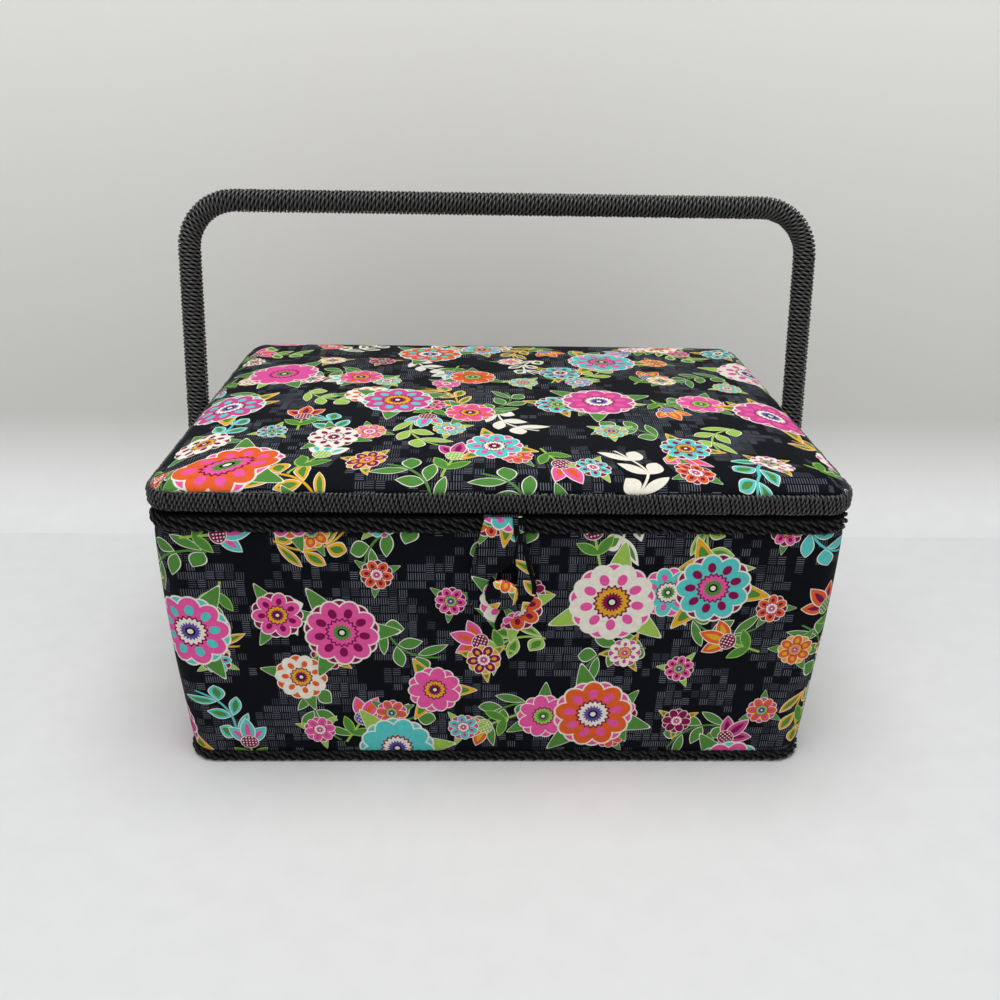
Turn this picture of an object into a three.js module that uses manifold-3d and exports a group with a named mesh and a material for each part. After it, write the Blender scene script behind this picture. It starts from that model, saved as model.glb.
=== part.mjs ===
import * as THREE from 'three';
import { mergeVertices } from 'three/addons/utils/BufferGeometryUtils.js';
import Module from 'manifold-3d';

const wasm = await Module();
wasm.setup();

// Sewing basket: a box of thin boards covered in printed cotton, with a padded lid on two rear
// hinges, a corded carrying handle that folds, a fabric loop that hooks on a covered button, and a
// lift-out tray. Millimetres, +Z up, front towards -Y, origin in the middle of the underside.

// Plan and height of the basket
const lidWidth = 320;
const lidDepth = 240;
const cornerRadius = 14;
const bodyHeight = 137.4;
const bodyInset = 1.2;
const bodyTaper = 4.6;

// Layers of the box walls and floor, from the outside in
const seatGap = 0.3;
const coverThickness = 2.4;
const boardThickness = 3;
const liningThickness = 1;
const baseSkin = 0.8;
const coverHem = 0.7;
const boardSplit = 2.2;

// Corded trims sewn round the box
const rimTrimProud = 1.2;
const baseTrimProud = 1.9;
const trimSink = 0.9;
const rimCordRadius = 1.65;
const rimTrimDrop = 1.2;
const baseCordRadius = 2.6;
const baseTrimLift = 0.5;

// Lid
const lidLift = 1.7;
const lidBandHeight = 10.1;
const lidBandThickness = 2.1;
const lidBandRound = 0.9;
const lidSkin = 1.2;
const lidFrameWidth = 10;
const lidFrameDrop = 0.9;
const lidLiningInset = 3.5;
const rollWidth = 9;
const rollHeight = 8.5;
const crownHeight = 4.5;
const crownFlat = 20;

// Pincushion sewn under the lid
const cushionWidth = 112;
const cushionDepth = 66;
const cushionRadius = 20;
const cushionHeight = 10;
const cushionEdge = 24;

// Lift-out tray and its ledges
const trayRestHeight = 4.5;
const trayRestWidth = 7;
const trayRestLength = 190;
const trayRestDrop = 28.4;
const trayClearance = 1.5;
const trayWall = 1.6;
const trayDepth = 32;
const trayDraft = 2.5;
const trayCornerRadius = 10;
const trayPocketRadius = 6;
const trayRowLine = -12;
const traySideLine = 48;

// Folding handle
const pivotUnderRest = 12.5;
const wrapRadius = 6;
const wrapValley = 0.7;
const wrapBore = 4.3;
const coreRadius = 3.4;
const lidSideGap = 0.8;
const barReach = 164.4;
const handleBend = 25;
const wrapStart = 20;
const handleLean = 11.1;
const wrapRibs = 140;
const endThickness = 3;
const endWidth = 14;

// Pivot hardware
const boltRadius = 2.5;
const boltClearance = 0.4;
const boltHeadRadius = 6;
const boltHeadHeight = 3.6;
const spacerRadius = 8;
const washerRadius = 7;
const washerThickness = 1;
const nutAcross = 8;
const nutThickness = 2.5;
const boltStandOut = 0.5;

// Rear hinges
const hingeSpread = 80;
const hingeWidth = 24;
const leafThickness = 1.2;
const leafEdge = 0.6;
const knuckleRadius = 2.2;
const hingePinRadius = 1;
const hingePinClearance = 0.25;
const hingeKnuckleGap = 0.3;
const hingeMiddleKnuckle = 8;
const hingeAxisLift = 0.4;
const screwSpread = 7.5;
const screwRadius = 1;
const screwHeadRadius = 1.6;
const screwHeadHeight = 0.8;
const screwTrimGap = 0.6;

// Closure: a fabric loop over a covered button
const buttonDrop = 36.6;
const buttonRadius = 7.5;
const buttonThickness = 4.6;
const buttonEdge = 1.3;
const buttonShankRadius = 2.2;
const loopThickness = 1.8;
const loopTopWidth = 18;
const loopWidth = 35;
const loopTail = 20.4;
const loopHoleWidth = 16.4;
const loopHoleLength = 30;
const loopBackGap = 0.9;
const loopTip = 2.6;
const loopNeckShare = 0.5;
const loopShoulderShare = 0.6;
const buttonGap = 0.9;

// Facets and steps of round shapes
const cornerFacets = 4;
const rodFacets = 16;
const eyeFacets = 6;
const smallRodFacets = 8;
const hingeFacets = 12;
const nutSides = 6;
const rollSteps = 4;
const crownSteps = 4;
const wrapSides = 8;
const coreSteps = 52;
const bendSteps = 6;
const cutOverrun = 5;
const tightestRadius = 2;

// Colours and finishes
function finish(color, roughness, metalness) {
  return new THREE.MeshStandardMaterial({ color, roughness, metalness });
}
const printedCotton = finish(0x171b28, 0.85, 0);
const blackCord = finish(0x23231f, 0.75, 0);
const board = finish(0xa58a66, 0.9, 0);
const satin = finish(0xb83278, 0.45, 0);
const foam = finish(0xe8e2d0, 0.95, 0);
const trayPlastic = finish(0xe6e2da, 0.4, 0);
const steel = finish(0x8c8c90, 0.35, 1);
const darkSteel = finish(0x2b2b2c, 0.45, 0.8);
const nylon = finish(0x1c1c1c, 0.5, 0);

// Solids for cutting and joining
function toSolid(geometry) {
  const bare = geometry.index ? geometry.toNonIndexed() : geometry.clone();
  bare.deleteAttribute('normal');
  bare.deleteAttribute('uv');
  const merged = mergeVertices(bare);
  const vertProperties = new Float32Array(merged.attributes.position.array);
  const triVerts = new Uint32Array(merged.index.array);
  return new wasm.Manifold(new wasm.Mesh({ numProp: 3, vertProperties, triVerts }));
}

function toGeometry(solid) {
  const mesh = solid.getMesh();
  const geometry = new THREE.BufferGeometry();
  geometry.setAttribute('position', new THREE.BufferAttribute(new Float32Array(mesh.vertProperties), 3));
  geometry.setIndex(Array.from(mesh.triVerts));
  return geometry;
}

function cutAway(geometry, cutters) {
  let solid = toSolid(geometry);
  for (const cutter of cutters) solid = solid.subtract(toSolid(cutter));
  return toGeometry(solid);
}

function joined(geometries) {
  let solid = toSolid(geometries[0]);
  for (const other of geometries.slice(1)) solid = solid.add(toSolid(other));
  return toGeometry(solid);
}

// A box between two corners
function block(low, high) {
  const size = high.map((value, i) => value - low[i]);
  const middle = high.map((value, i) => (value + low[i]) / 2);
  return new THREE.BoxGeometry(...size).translate(...middle);
}

// A rod along X or Y from one end to the other
function rodAlongX(radius, fromX, toX, y, z, facets = rodFacets) {
  const rod = new THREE.CylinderGeometry(radius, radius, Math.abs(toX - fromX), facets);
  return rod.rotateZ(Math.PI / 2).translate((fromX + toX) / 2, y, z);
}

function rodAlongY(radius, fromY, toY, x, z, facets = smallRodFacets) {
  const rod = new THREE.CylinderGeometry(radius, radius, Math.abs(toY - fromY), facets);
  return rod.translate(x, (fromY + toY) / 2, z);
}

// A skin through rings of points, closed on itself or capped at both ends, facing outwards
function loft(rings, closed = false) {
  const count = rings[0].length;
  const points = rings.flat();
  const triangles = [];
  const bands = closed ? rings.length : rings.length - 1;
  for (let band = 0; band < bands; band += 1) {
    const low = band * count;
    const high = ((band + 1) % rings.length) * count;
    for (let i = 0; i < count; i += 1) {
      const next = (i + 1) % count;
      triangles.push(low + i, low + next, high + next, low + i, high + next, high + i);
    }
  }
  if (!closed) {
    const caps = [{ ring: rings[0], start: 0, turn: true }];
    caps.push({ ring: rings[rings.length - 1], start: (rings.length - 1) * count, turn: false });
    for (const { ring, start, turn } of caps) {
      const middle = new THREE.Vector3();
      for (const point of ring) middle.addScaledVector(point, 1 / count);
      points.push(middle);
      for (let i = 0; i < count; i += 1) {
        const pair = [start + i, start + (i + 1) % count];
        if (turn) pair.reverse();
        triangles.push(points.length - 1, ...pair);
      }
    }
  }
  return facingOut(points, triangles);
}

function facingOut(points, triangles) {
  let volume = 0;
  for (let i = 0; i < triangles.length; i += 3) {
    const [a, b, c] = [points[triangles[i]], points[triangles[i + 1]], points[triangles[i + 2]]];
    volume += a.dot(new THREE.Vector3().crossVectors(b, c));
  }
  if (volume < 0) triangles.reverse();
  const geometry = new THREE.BufferGeometry();
  geometry.setAttribute('position', new THREE.Float32BufferAttribute(points.flatMap((p) => p.toArray()), 3));
  geometry.setIndex(triangles);
  return geometry;
}

// One ring of points round a rounded rectangle, drawn in from its plan by an inset
function ring(plan, inset, z) {
  const radius = Math.max(plan.radius - inset, tightestRadius);
  const points = [];
  for (let corner = 0; corner < 4; corner += 1) {
    const signX = corner === 0 || corner === 3 ? 1 : -1;
    const signY = corner < 2 ? 1 : -1;
    for (let step = 0; step <= cornerFacets; step += 1) {
      const angle = (corner + step / cornerFacets) * Math.PI / 2;
      const x = signX * (plan.halfWidth - inset - radius) + radius * Math.cos(angle);
      const y = signY * (plan.halfDepth - inset - radius) + radius * Math.sin(angle);
      points.push(new THREE.Vector3(x, y, z));
    }
  }
  return points;
}

// The box wall narrows towards the floor; an inset counts in from its outer face
function wallAt(z) {
  const drawnIn = bodyInset + bodyTaper * (1 - z / bodyHeight);
  return { halfWidth: lidWidth / 2 - drawnIn, halfDepth: lidDepth / 2 - drawnIn, radius: cornerRadius };
}
const wallRing = ([inset, z]) => ring(wallAt(z), inset, z);
const lidPlan = { halfWidth: lidWidth / 2, halfDepth: lidDepth / 2, radius: cornerRadius };
const lidRing = ([inset, z]) => ring(lidPlan, inset, z);

// Places of the layers, from the sizes above
const recessInset = trimSink + seatGap;
const boardOuter = coverThickness + seatGap;
const boardInner = boardOuter + boardThickness;
const liningOuter = boardInner + seatGap;
const liningInner = liningOuter + liningThickness;
const baseBoardBottom = baseSkin + seatGap;
const baseBoardTop = baseBoardBottom + boardThickness;
const wallBottom = baseBoardTop + seatGap;
const rimTrimTop = bodyHeight - rimTrimDrop;
const rimTrimBottom = rimTrimTop - 4 * rimCordRadius;
const baseTrimTop = baseTrimLift + 2 * baseCordRadius;
const lidBottom = bodyHeight + lidLift;
const lidTop = lidBottom + lidBandHeight;
const lidBoardTop = lidBottom + boardThickness;
const lidCoverInset = lidBandThickness + seatGap;
const rollInset = lidCoverInset + rollWidth;
const crownReach = lidDepth / 2 - crownFlat;
const domeBase = lidTop + seatGap;
const lidFrameTop = domeBase - lidFrameDrop;
const lidLiningTop = lidBottom - seatGap;
const lidLiningBottom = bodyHeight + seatGap;
const buttonHeight = lidLiningTop - buttonDrop;
const trayRestTop = bodyHeight - trayRestDrop;
const pivotHeight = trayRestTop - trayRestHeight - pivotUnderRest;
const legX = lidWidth / 2 + lidSideGap + wrapRadius;
const hingeAxisY = lidDepth / 2 + seatGap + knuckleRadius;
const hingeAxisZ = bodyHeight + hingeAxisLift;
const screwBodyZ = rimTrimBottom - screwTrimGap - screwHeadRadius;
const screwLidZ = (lidBottom + lidTop) / 2;
const pivotHoleRadius = boltRadius + boltClearance;

const basket = new THREE.Group();

function piece(name, geometry, material, parent = basket) {
  const mesh = new THREE.Mesh(geometry, material);
  mesh.name = name;
  parent.add(mesh);
  return mesh;
}

// Cuts for the pivot bolts and the hinge screws
function pivotCuts() {
  const reach = lidWidth / 2 + cutOverrun;
  return [rodAlongX(pivotHoleRadius, -reach, reach, 0, pivotHeight)];
}

function screwCuts(z) {
  const cuts = [];
  const fromY = lidDepth / 2 - lidCoverInset - lidFrameWidth;
  const toY = hingeAxisY + knuckleRadius;
  for (const side of [-1, 1]) {
    for (const turn of [-1, 1]) {
      const x = side * hingeSpread + turn * screwSpread;
      cuts.push(rodAlongY(screwRadius + hingePinClearance, fromY, toY, x, z));
    }
  }
  return cuts;
}

// Printed cotton round the box, let in for the trims and turned over the top of the boards
function bodyCover() {
  const profile = [
    [recessInset, baseBoardBottom],
    [recessInset, baseTrimTop + seatGap],
    [0, baseTrimTop + seatGap],
    [0, rimTrimBottom - seatGap],
    [recessInset, rimTrimBottom - seatGap],
    [recessInset, bodyHeight],
    [boardInner, bodyHeight],
    [boardInner, bodyHeight - coverHem],
    [coverThickness, bodyHeight - coverHem],
    [coverThickness, baseBoardBottom],
  ];
  const cover = loft(profile.map(wallRing), true);
  return cutAway(cover, [...pivotCuts(), ...screwCuts(screwBodyZ)]);
}

// Lining tub: floor and four walls in one
function bodyLining() {
  const profile = [
    [liningOuter, wallBottom],
    [liningOuter, bodyHeight],
    [liningInner, bodyHeight],
    [liningInner, wallBottom + liningThickness],
  ];
  return cutAway(loft(profile.map(wallRing)), pivotCuts());
}

// Wall boards: two bent round the corners at front and back, two flat ones at the sides
function wallBoards() {
  const top = bodyHeight - coverHem - seatGap;
  const profile = [[boardOuter, wallBottom], [boardOuter, top], [boardInner, top], [boardInner, wallBottom]];
  const ringOfBoards = toSolid(loft(profile.map(wallRing), true));
  const x = lidWidth / 2;
  const y = lidDepth / 2;
  const split = wallAt(0).halfDepth - cornerRadius - boardSplit;
  const end = split - seatGap;
  const regions = {
    front_board: block([-x, -y, 0], [x, -split, bodyHeight]),
    back_board: block([-x, split, 0], [x, y, bodyHeight]),
    left_board: block([-x, -end, 0], [0, end, bodyHeight]),
    right_board: block([0, -end, 0], [x, end, bodyHeight]),
  };
  const cuts = [...pivotCuts(), ...screwCuts(screwBodyZ)];
  for (const [name, region] of Object.entries(regions)) {
    const cutOut = toGeometry(ringOfBoards.intersect(toSolid(region)));
    piece(name, cutAway(cutOut, cuts), board);
  }
}

// A trim of one or more cords lying one above the other, half sunk in the wall
function cordTrim(bottom, radius, rows, proud) {
  const profile = [];
  for (let row = 0; row < rows; row += 1) {
    const middle = bottom + (2 * row + 1) * radius;
    for (let step = 0; step <= rollSteps; step += 1) {
      if (row > 0 && step === 0) continue;
      const angle = (step / rollSteps - 1 / 2) * Math.PI;
      profile.push([radius - proud - radius * Math.cos(angle), middle + radius * Math.sin(angle)]);
    }
  }
  profile.push([trimSink, bottom + 2 * rows * radius]);
  profile.push([trimSink, bottom]);
  return loft(profile.map(wallRing), true);
}

// Inset and height along the lid's rolled edge and crown, drawn in by a thickness
function domeProfile(thickness) {
  const profile = [];
  for (let step = 0; step <= rollSteps; step += 1) {
    const angle = (step / rollSteps) * Math.PI / 2;
    const inset = rollInset - (rollWidth - thickness) * Math.cos(angle);
    profile.push([inset, domeBase + (rollHeight - thickness) * Math.sin(angle)]);
  }
  for (let step = 1; step <= crownSteps; step += 1) {
    const share = step / crownSteps;
    const rise = crownHeight * (1 - (1 - share) ** 2);
    profile.push([rollInset + (crownReach - rollInset) * share, domeBase + rollHeight - thickness + rise]);
  }
  return profile;
}

function lidCover() {
  const skirtBottom = lidBoardTop + seatGap;
  const inside = [[lidCoverInset + lidSkin, skirtBottom], ...domeProfile(lidSkin)];
  const outside = [[lidCoverInset, skirtBottom], ...domeProfile(0)];
  const cover = loft([...inside.reverse(), ...outside].map(lidRing));
  return cutAway(cover, screwCuts(screwLidZ));
}

function lidPad() {
  const bottom = lidBoardTop + seatGap;
  const outer = lidCoverInset + lidSkin + seatGap;
  const frameInner = outer + lidFrameWidth + seatGap;
  const shoulder = lidFrameTop + seatGap;
  const under = [[frameInner, bottom], [frameInner, shoulder], [outer, shoulder]];
  return loft([...under, ...domeProfile(lidSkin + seatGap)].map(lidRing));
}

// Stiff frame that gives the lid its edge height
function lidFrame() {
  const bottom = lidBoardTop + seatGap;
  const outer = lidCoverInset + lidSkin + seatGap;
  const inner = outer + lidFrameWidth;
  const profile = [[outer, bottom], [outer, lidFrameTop], [inner, lidFrameTop], [inner, bottom]];
  const frame = loft(profile.map(lidRing), true);
  return cutAway(frame, screwCuts(screwLidZ));
}

function lidBand() {
  const profile = [
    [lidBandRound, lidBottom],
    [0, lidBottom + lidBandRound],
    [0, lidTop - lidBandRound],
    [lidBandRound, lidTop],
    [lidBandThickness, lidTop],
    [lidBandThickness, lidBottom],
  ];
  return cutAway(loft(profile.map(lidRing), true), screwCuts(screwLidZ));
}

function lidPanels() {
  const boardRings = [[lidCoverInset, lidBottom], [lidCoverInset, lidBoardTop]];
  piece('lid_board', loft(boardRings.map(lidRing)), board);
  const liningRings = [[lidLiningInset, lidLiningBottom], [lidLiningInset, lidLiningTop]];
  piece('lid_lining', loft(liningRings.map(lidRing)), satin);
}

// Pincushion: a crowned pad with its sides drawn in at the seam, as shares of its edge and height
const cushionShares = [[0.12, 0], [0.02, 0.15], [0, 0.35], [0.05, 0.6], [0.2, 0.8], [0.5, 0.94], [1, 1]];

function pincushion() {
  const plan = { halfWidth: cushionWidth / 2, halfDepth: cushionDepth / 2, radius: cushionRadius };
  const top = lidLiningBottom - seatGap;
  return loft(cushionShares.map(([inward, down]) => (
    ring(plan, inward * cushionEdge, top - down * cushionHeight)
  )));
}

// Ledges that carry the tray, glued to the lining on the left and right
function trayRest(side) {
  const bottom = trayRestTop - trayRestHeight;
  const outer = wallAt(bottom).halfWidth - liningInner - seatGap;
  const inner = outer - trayRestWidth;
  const half = trayRestLength / 2;
  const xs = [side * outer, side * inner].sort((a, b) => a - b);
  return block([xs[0], -half, bottom], [xs[1], half, trayRestTop]);
}

// Tray: flanged tub with two compartments in the front row and three behind
function tray() {
  const flangeBottom = trayRestTop + seatGap;
  const flangeTop = flangeBottom + trayWall;
  const bottom = flangeTop - trayDepth;
  const room = wallAt(flangeBottom);
  const flangeInset = liningInner + trayClearance;
  const restInner = wallAt(trayRestTop - trayRestHeight).halfWidth - liningInner - seatGap - trayRestWidth;
  const lip = room.halfWidth - flangeInset - (restInner - trayClearance);
  const plan = { ...room, radius: trayCornerRadius + flangeInset };
  const profile = [
    [flangeInset + lip + trayDraft, bottom],
    [flangeInset + lip, flangeBottom],
    [flangeInset, flangeBottom],
    [flangeInset, flangeTop],
  ];
  const halfX = room.halfWidth - flangeInset - lip - trayWall;
  const halfY = room.halfDepth - flangeInset - lip - trayWall;
  const half = trayWall / 2;
  const pockets = [
    [-halfX, -halfY, -half, trayRowLine - half],
    [half, -halfY, halfX, trayRowLine - half],
    [-halfX, trayRowLine + half, -traySideLine - half, halfY],
    [-traySideLine + half, trayRowLine + half, traySideLine - half, halfY],
    [traySideLine + half, trayRowLine + half, halfX, halfY],
  ];
  const floor = bottom + trayWall;
  const above = flangeTop + cutOverrun;
  const spread = trayDraft * (above - flangeTop) / trayDepth;
  const cutters = pockets.map(([x0, y0, x1, y1]) => {
    const pocket = { halfWidth: (x1 - x0) / 2, halfDepth: (y1 - y0) / 2, radius: trayPocketRadius };
    const cutter = loft([ring(pocket, trayDraft, floor), ring(pocket, -spread, above)]);
    return cutter.translate((x0 + x1) / 2, (y0 + y1) / 2, 0);
  });
  return cutAway(loft(profile.map(([inset, z]) => ring(plan, inset, z))), cutters);
}

// Covered button and its thread shank
function button() {
  const wallY = wallAt(buttonHeight + buttonShankRadius).halfDepth;
  const loopFront = lidDepth / 2 + loopBackGap + loopThickness;
  const headBack = loopFront + buttonGap;
  const [from, to] = [-wallY - seatGap, -headBack + seatGap];
  const shank = rodAlongY(buttonShankRadius, from, to, 0, buttonHeight, rodFacets);
  piece('button_shank', shank, blackCord);
  const profile = [new THREE.Vector2(0, 0), new THREE.Vector2(buttonRadius - buttonEdge, 0)];
  for (let step = 0; step < crownSteps; step += 1) {
    const angle = (step / crownSteps) * Math.PI / 2;
    const height = buttonEdge + (buttonThickness - buttonEdge) * Math.sin(angle);
    profile.push(new THREE.Vector2(buttonRadius * Math.cos(angle), height));
  }
  profile.push(new THREE.Vector2(0, buttonThickness));
  const head = new THREE.LatheGeometry(profile, rodFacets).rotateX(Math.PI);
  piece('button_head', head, printedCotton).position.set(0, -headBack, buttonHeight);
}

// Fabric loop hanging from the lid's front edge, a kite-shaped strap with an eye for the button
function closureLoop() {
  const topHalf = loopTopWidth / 2;
  const half = loopWidth / 2;
  const widest = -buttonDrop;
  const lowest = widest - loopTail;
  const tipRound = loopTip / 2;
  const neck = widest * loopNeckShare;
  const shoulder = widest * loopShoulderShare;
  const outline = new THREE.Shape();
  outline.moveTo(-topHalf, 0);
  outline.bezierCurveTo(-topHalf, neck, -half, shoulder, -half, widest);
  outline.bezierCurveTo(-half, (widest + lowest) / 2, -half / 2, lowest + tipRound, -tipRound, lowest);
  outline.lineTo(tipRound, lowest);
  outline.bezierCurveTo(half / 2, lowest + tipRound, half, (widest + lowest) / 2, half, widest);
  outline.bezierCurveTo(half, shoulder, topHalf, neck, topHalf, 0);
  outline.closePath();
  const eyeHalf = loopHoleWidth / 2;
  const eyeTop = widest - eyeHalf + loopHoleLength - tipRound;
  const eye = new THREE.Path();
  eye.moveTo(-tipRound, eyeTop);
  eye.bezierCurveTo(-eyeHalf / 2, eyeTop, -eyeHalf, widest + eyeHalf, -eyeHalf, widest);
  eye.absarc(0, widest, eyeHalf, Math.PI, 2 * Math.PI, false);
  eye.bezierCurveTo(eyeHalf, widest + eyeHalf, eyeHalf / 2, eyeTop, tipRound, eyeTop);
  eye.closePath();
  outline.holes.push(eye);
  const settings = { depth: loopThickness, bevelEnabled: false, curveSegments: eyeFacets };
  const strap = new THREE.ExtrudeGeometry(outline, settings);
  return strap.rotateX(Math.PI / 2);
}

function closure() {
  const back = lidDepth / 2 + loopBackGap;
  const loop = piece('closure_loop', closureLoop(), printedCotton);
  loop.position.set(0, -back, lidLiningTop);
  const front = back - seatGap;
  const half = loopTopWidth / 2;
  const low = [-half, -front, lidLiningBottom];
  const high = [half, -(lidDepth / 2 - lidLiningInset) - seatGap, lidLiningTop];
  piece('closure_tab', block(low, high), printedCotton);
}

// Butt hinge leaf: a plate and its knuckles on a bore for the pin; up is 1 for the lid's leaf
function hingeLeaf(up, x) {
  const half = hingeWidth / 2;
  const middle = hingeMiddleKnuckle / 2;
  const near = hingeAxisY - knuckleRadius;
  const far = (up > 0 ? screwLidZ : screwBodyZ) + up * (screwHeadRadius + leafEdge);
  const zs = [hingeAxisZ, far].sort((a, b) => a - b);
  const plate = block([x - half, near, zs[0]], [x + half, near + leafThickness, zs[1]]);
  const outside = middle + hingeKnuckleGap;
  const spans = up > 0 ? [[-middle, middle]] : [[-half, -outside], [outside, half]];
  const rods = spans.map(([from, to]) => (
    rodAlongX(knuckleRadius, x + from, x + to, hingeAxisY, hingeAxisZ, hingeFacets)
  ));
  const past = half + cutOverrun;
  const free = up > 0 ? [[-past, -middle], [middle, past]] : [[-outside, outside]];
  const clear = knuckleRadius + hingeKnuckleGap;
  const cuts = free.map(([from, to]) => block(
    [x + from, near - clear, hingeAxisZ - clear],
    [x + to, near + 2 * clear, hingeAxisZ + clear],
  ));
  const boreRadius = hingePinRadius + hingePinClearance;
  const bore = rodAlongX(boreRadius, x - half, x + half, hingeAxisY, hingeAxisZ, hingeFacets);
  const notched = cutAway(plate, cuts);
  const screws = screwCuts(up > 0 ? screwLidZ : screwBodyZ);
  return cutAway(joined([notched, ...rods]), [bore, ...screws]);
}

// Small pan-head screws through a leaf into the back of the box or of the lid
function hingeScrews(owner, z, length) {
  const face = lidDepth / 2 + seatGap + leafThickness;
  const headStart = face + seatGap;
  let number = 0;
  for (const side of [-1, 1]) {
    for (const turn of [-1, 1]) {
      number += 1;
      const x = side * hingeSpread + turn * screwSpread;
      const shank = rodAlongY(screwRadius, face - length, headStart + screwHeadHeight / 2, x, z);
      const head = rodAlongY(screwHeadRadius, headStart, headStart + screwHeadHeight, x, z, rodFacets);
      piece(`hinge_screw_${owner}_${number}`, joined([shank, head]), steel);
    }
  }
}

function hinges() {
  for (const [name, side] of [['left', -1], ['right', 1]]) {
    const x = side * hingeSpread;
    const half = hingeWidth / 2;
    piece(`hinge_leaf_body_${name}`, hingeLeaf(-1, x), darkSteel);
    piece(`hinge_leaf_lid_${name}`, hingeLeaf(1, x), darkSteel);
    const pin = rodAlongX(hingePinRadius, x - half, x + half, hingeAxisY, hingeAxisZ);
    piece(`hinge_pin_${name}`, pin, steel);
  }
  const bodyReach = leafThickness + seatGap + lidDepth / 2 - wallAt(screwBodyZ).halfDepth + boardInner;
  hingeScrews('body', screwBodyZ, bodyReach);
  const lidReach = leafThickness + seatGap + lidCoverInset + lidSkin + seatGap + lidFrameWidth / 2;
  hingeScrews('lid', screwLidZ, lidReach);
}

// Bolt through the side wall, with its washer and nut inside and the handle's spacer outside
function pivotHardware() {
  const wallOut = wallAt(pivotHeight + spacerRadius).halfWidth;
  const wallIn = wallAt(pivotHeight - washerRadius).halfWidth - liningInner;
  const washerOut = wallIn - seatGap;
  const nutOut = washerOut - washerThickness - seatGap;
  const boltEnd = nutOut - nutThickness - boltStandOut;
  const spacerIn = wallOut + seatGap;
  const spacerOut = legX - endThickness / 2 - seatGap;
  const headIn = legX + endThickness / 2 + seatGap;
  const boltProfile = [
    [0, boltEnd],
    [boltRadius, boltEnd],
    [boltRadius, headIn],
    [boltHeadRadius, headIn],
    [boltHeadRadius, headIn + boltHeadHeight / 3],
    [boltHeadRadius / 2, headIn + boltHeadHeight],
    [0, headIn + boltHeadHeight],
  ];
  for (const [name, turn] of [['left', Math.PI], ['right', 0]]) {
    const side = new THREE.Group();
    side.position.z = pivotHeight;
    side.rotation.z = turn;
    basket.add(side);
    const points = boltProfile.map(([radius, x]) => new THREE.Vector2(radius, x));
    const bolt = new THREE.LatheGeometry(points, rodFacets).rotateZ(-Math.PI / 2);
    piece(`pivot_bolt_${name}`, bolt, darkSteel, side);
    const washer = collar(washerRadius, washerOut - washerThickness, washerOut);
    piece(`pivot_washer_${name}`, washer, steel, side);
    const nutRadius = nutAcross / Math.sqrt(3);
    piece(`pivot_nut_${name}`, collar(nutRadius, nutOut - nutThickness, nutOut, nutSides), steel, side);
    piece(`pivot_spacer_${name}`, collar(spacerRadius, spacerIn, spacerOut), nylon, side);
  }
}

function collar(radius, fromX, toX, facets = rodFacets) {
  const outside = rodAlongX(radius, fromX, toX, 0, 0, facets);
  const bore = rodAlongX(pivotHoleRadius, fromX - cutOverrun, toX + cutOverrun, 0, 0);
  return cutAway(outside, [bore]);
}

// Centre line of the handle in its own frame: up the left leg, across, and down the right
const legLength = barReach - handleBend - wrapStart;
const bendLength = handleBend * Math.PI / 2;
const handleLength = 2 * (legLength + bendLength + legX - handleBend);

function handleStation(s) {
  const mirrored = s > handleLength / 2;
  const along = mirrored ? handleLength - s : s;
  const turn = Math.min(Math.max((along - legLength) / handleBend, 0), Math.PI / 2);
  const beyond = Math.max(along - legLength - bendLength, 0);
  const rise = Math.min(along, legLength);
  const x = -legX + handleBend * (1 - Math.cos(turn)) + beyond;
  const z = wrapStart + rise + handleBend * Math.sin(turn);
  const outX = -Math.cos(turn);
  const flip = mirrored ? -1 : 1;
  const centre = new THREE.Vector3(flip * x, 0, z);
  const out = new THREE.Vector3(flip * outX, 0, Math.sin(turn));
  return { centre, out };
}

function aroundHandle(s, angle, radius) {
  const { centre, out } = handleStation(s);
  const point = centre.clone().addScaledVector(out, radius * Math.cos(angle));
  return point.add(new THREE.Vector3(0, radius * Math.sin(angle), 0));
}

class HandleLine extends THREE.Curve {
  getPoint(t) {
    return handleStation(t * handleLength).centre;
  }
}

function handleCore() {
  const section = new THREE.Shape();
  section.absarc(0, 0, coreRadius, 0, 2 * Math.PI);
  const path = new HandleLine();
  const settings = { steps: coreSteps, extrudePath: path, curveSegments: wrapSides / 2 };
  return new THREE.ExtrudeGeometry(section, settings);
}

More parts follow.
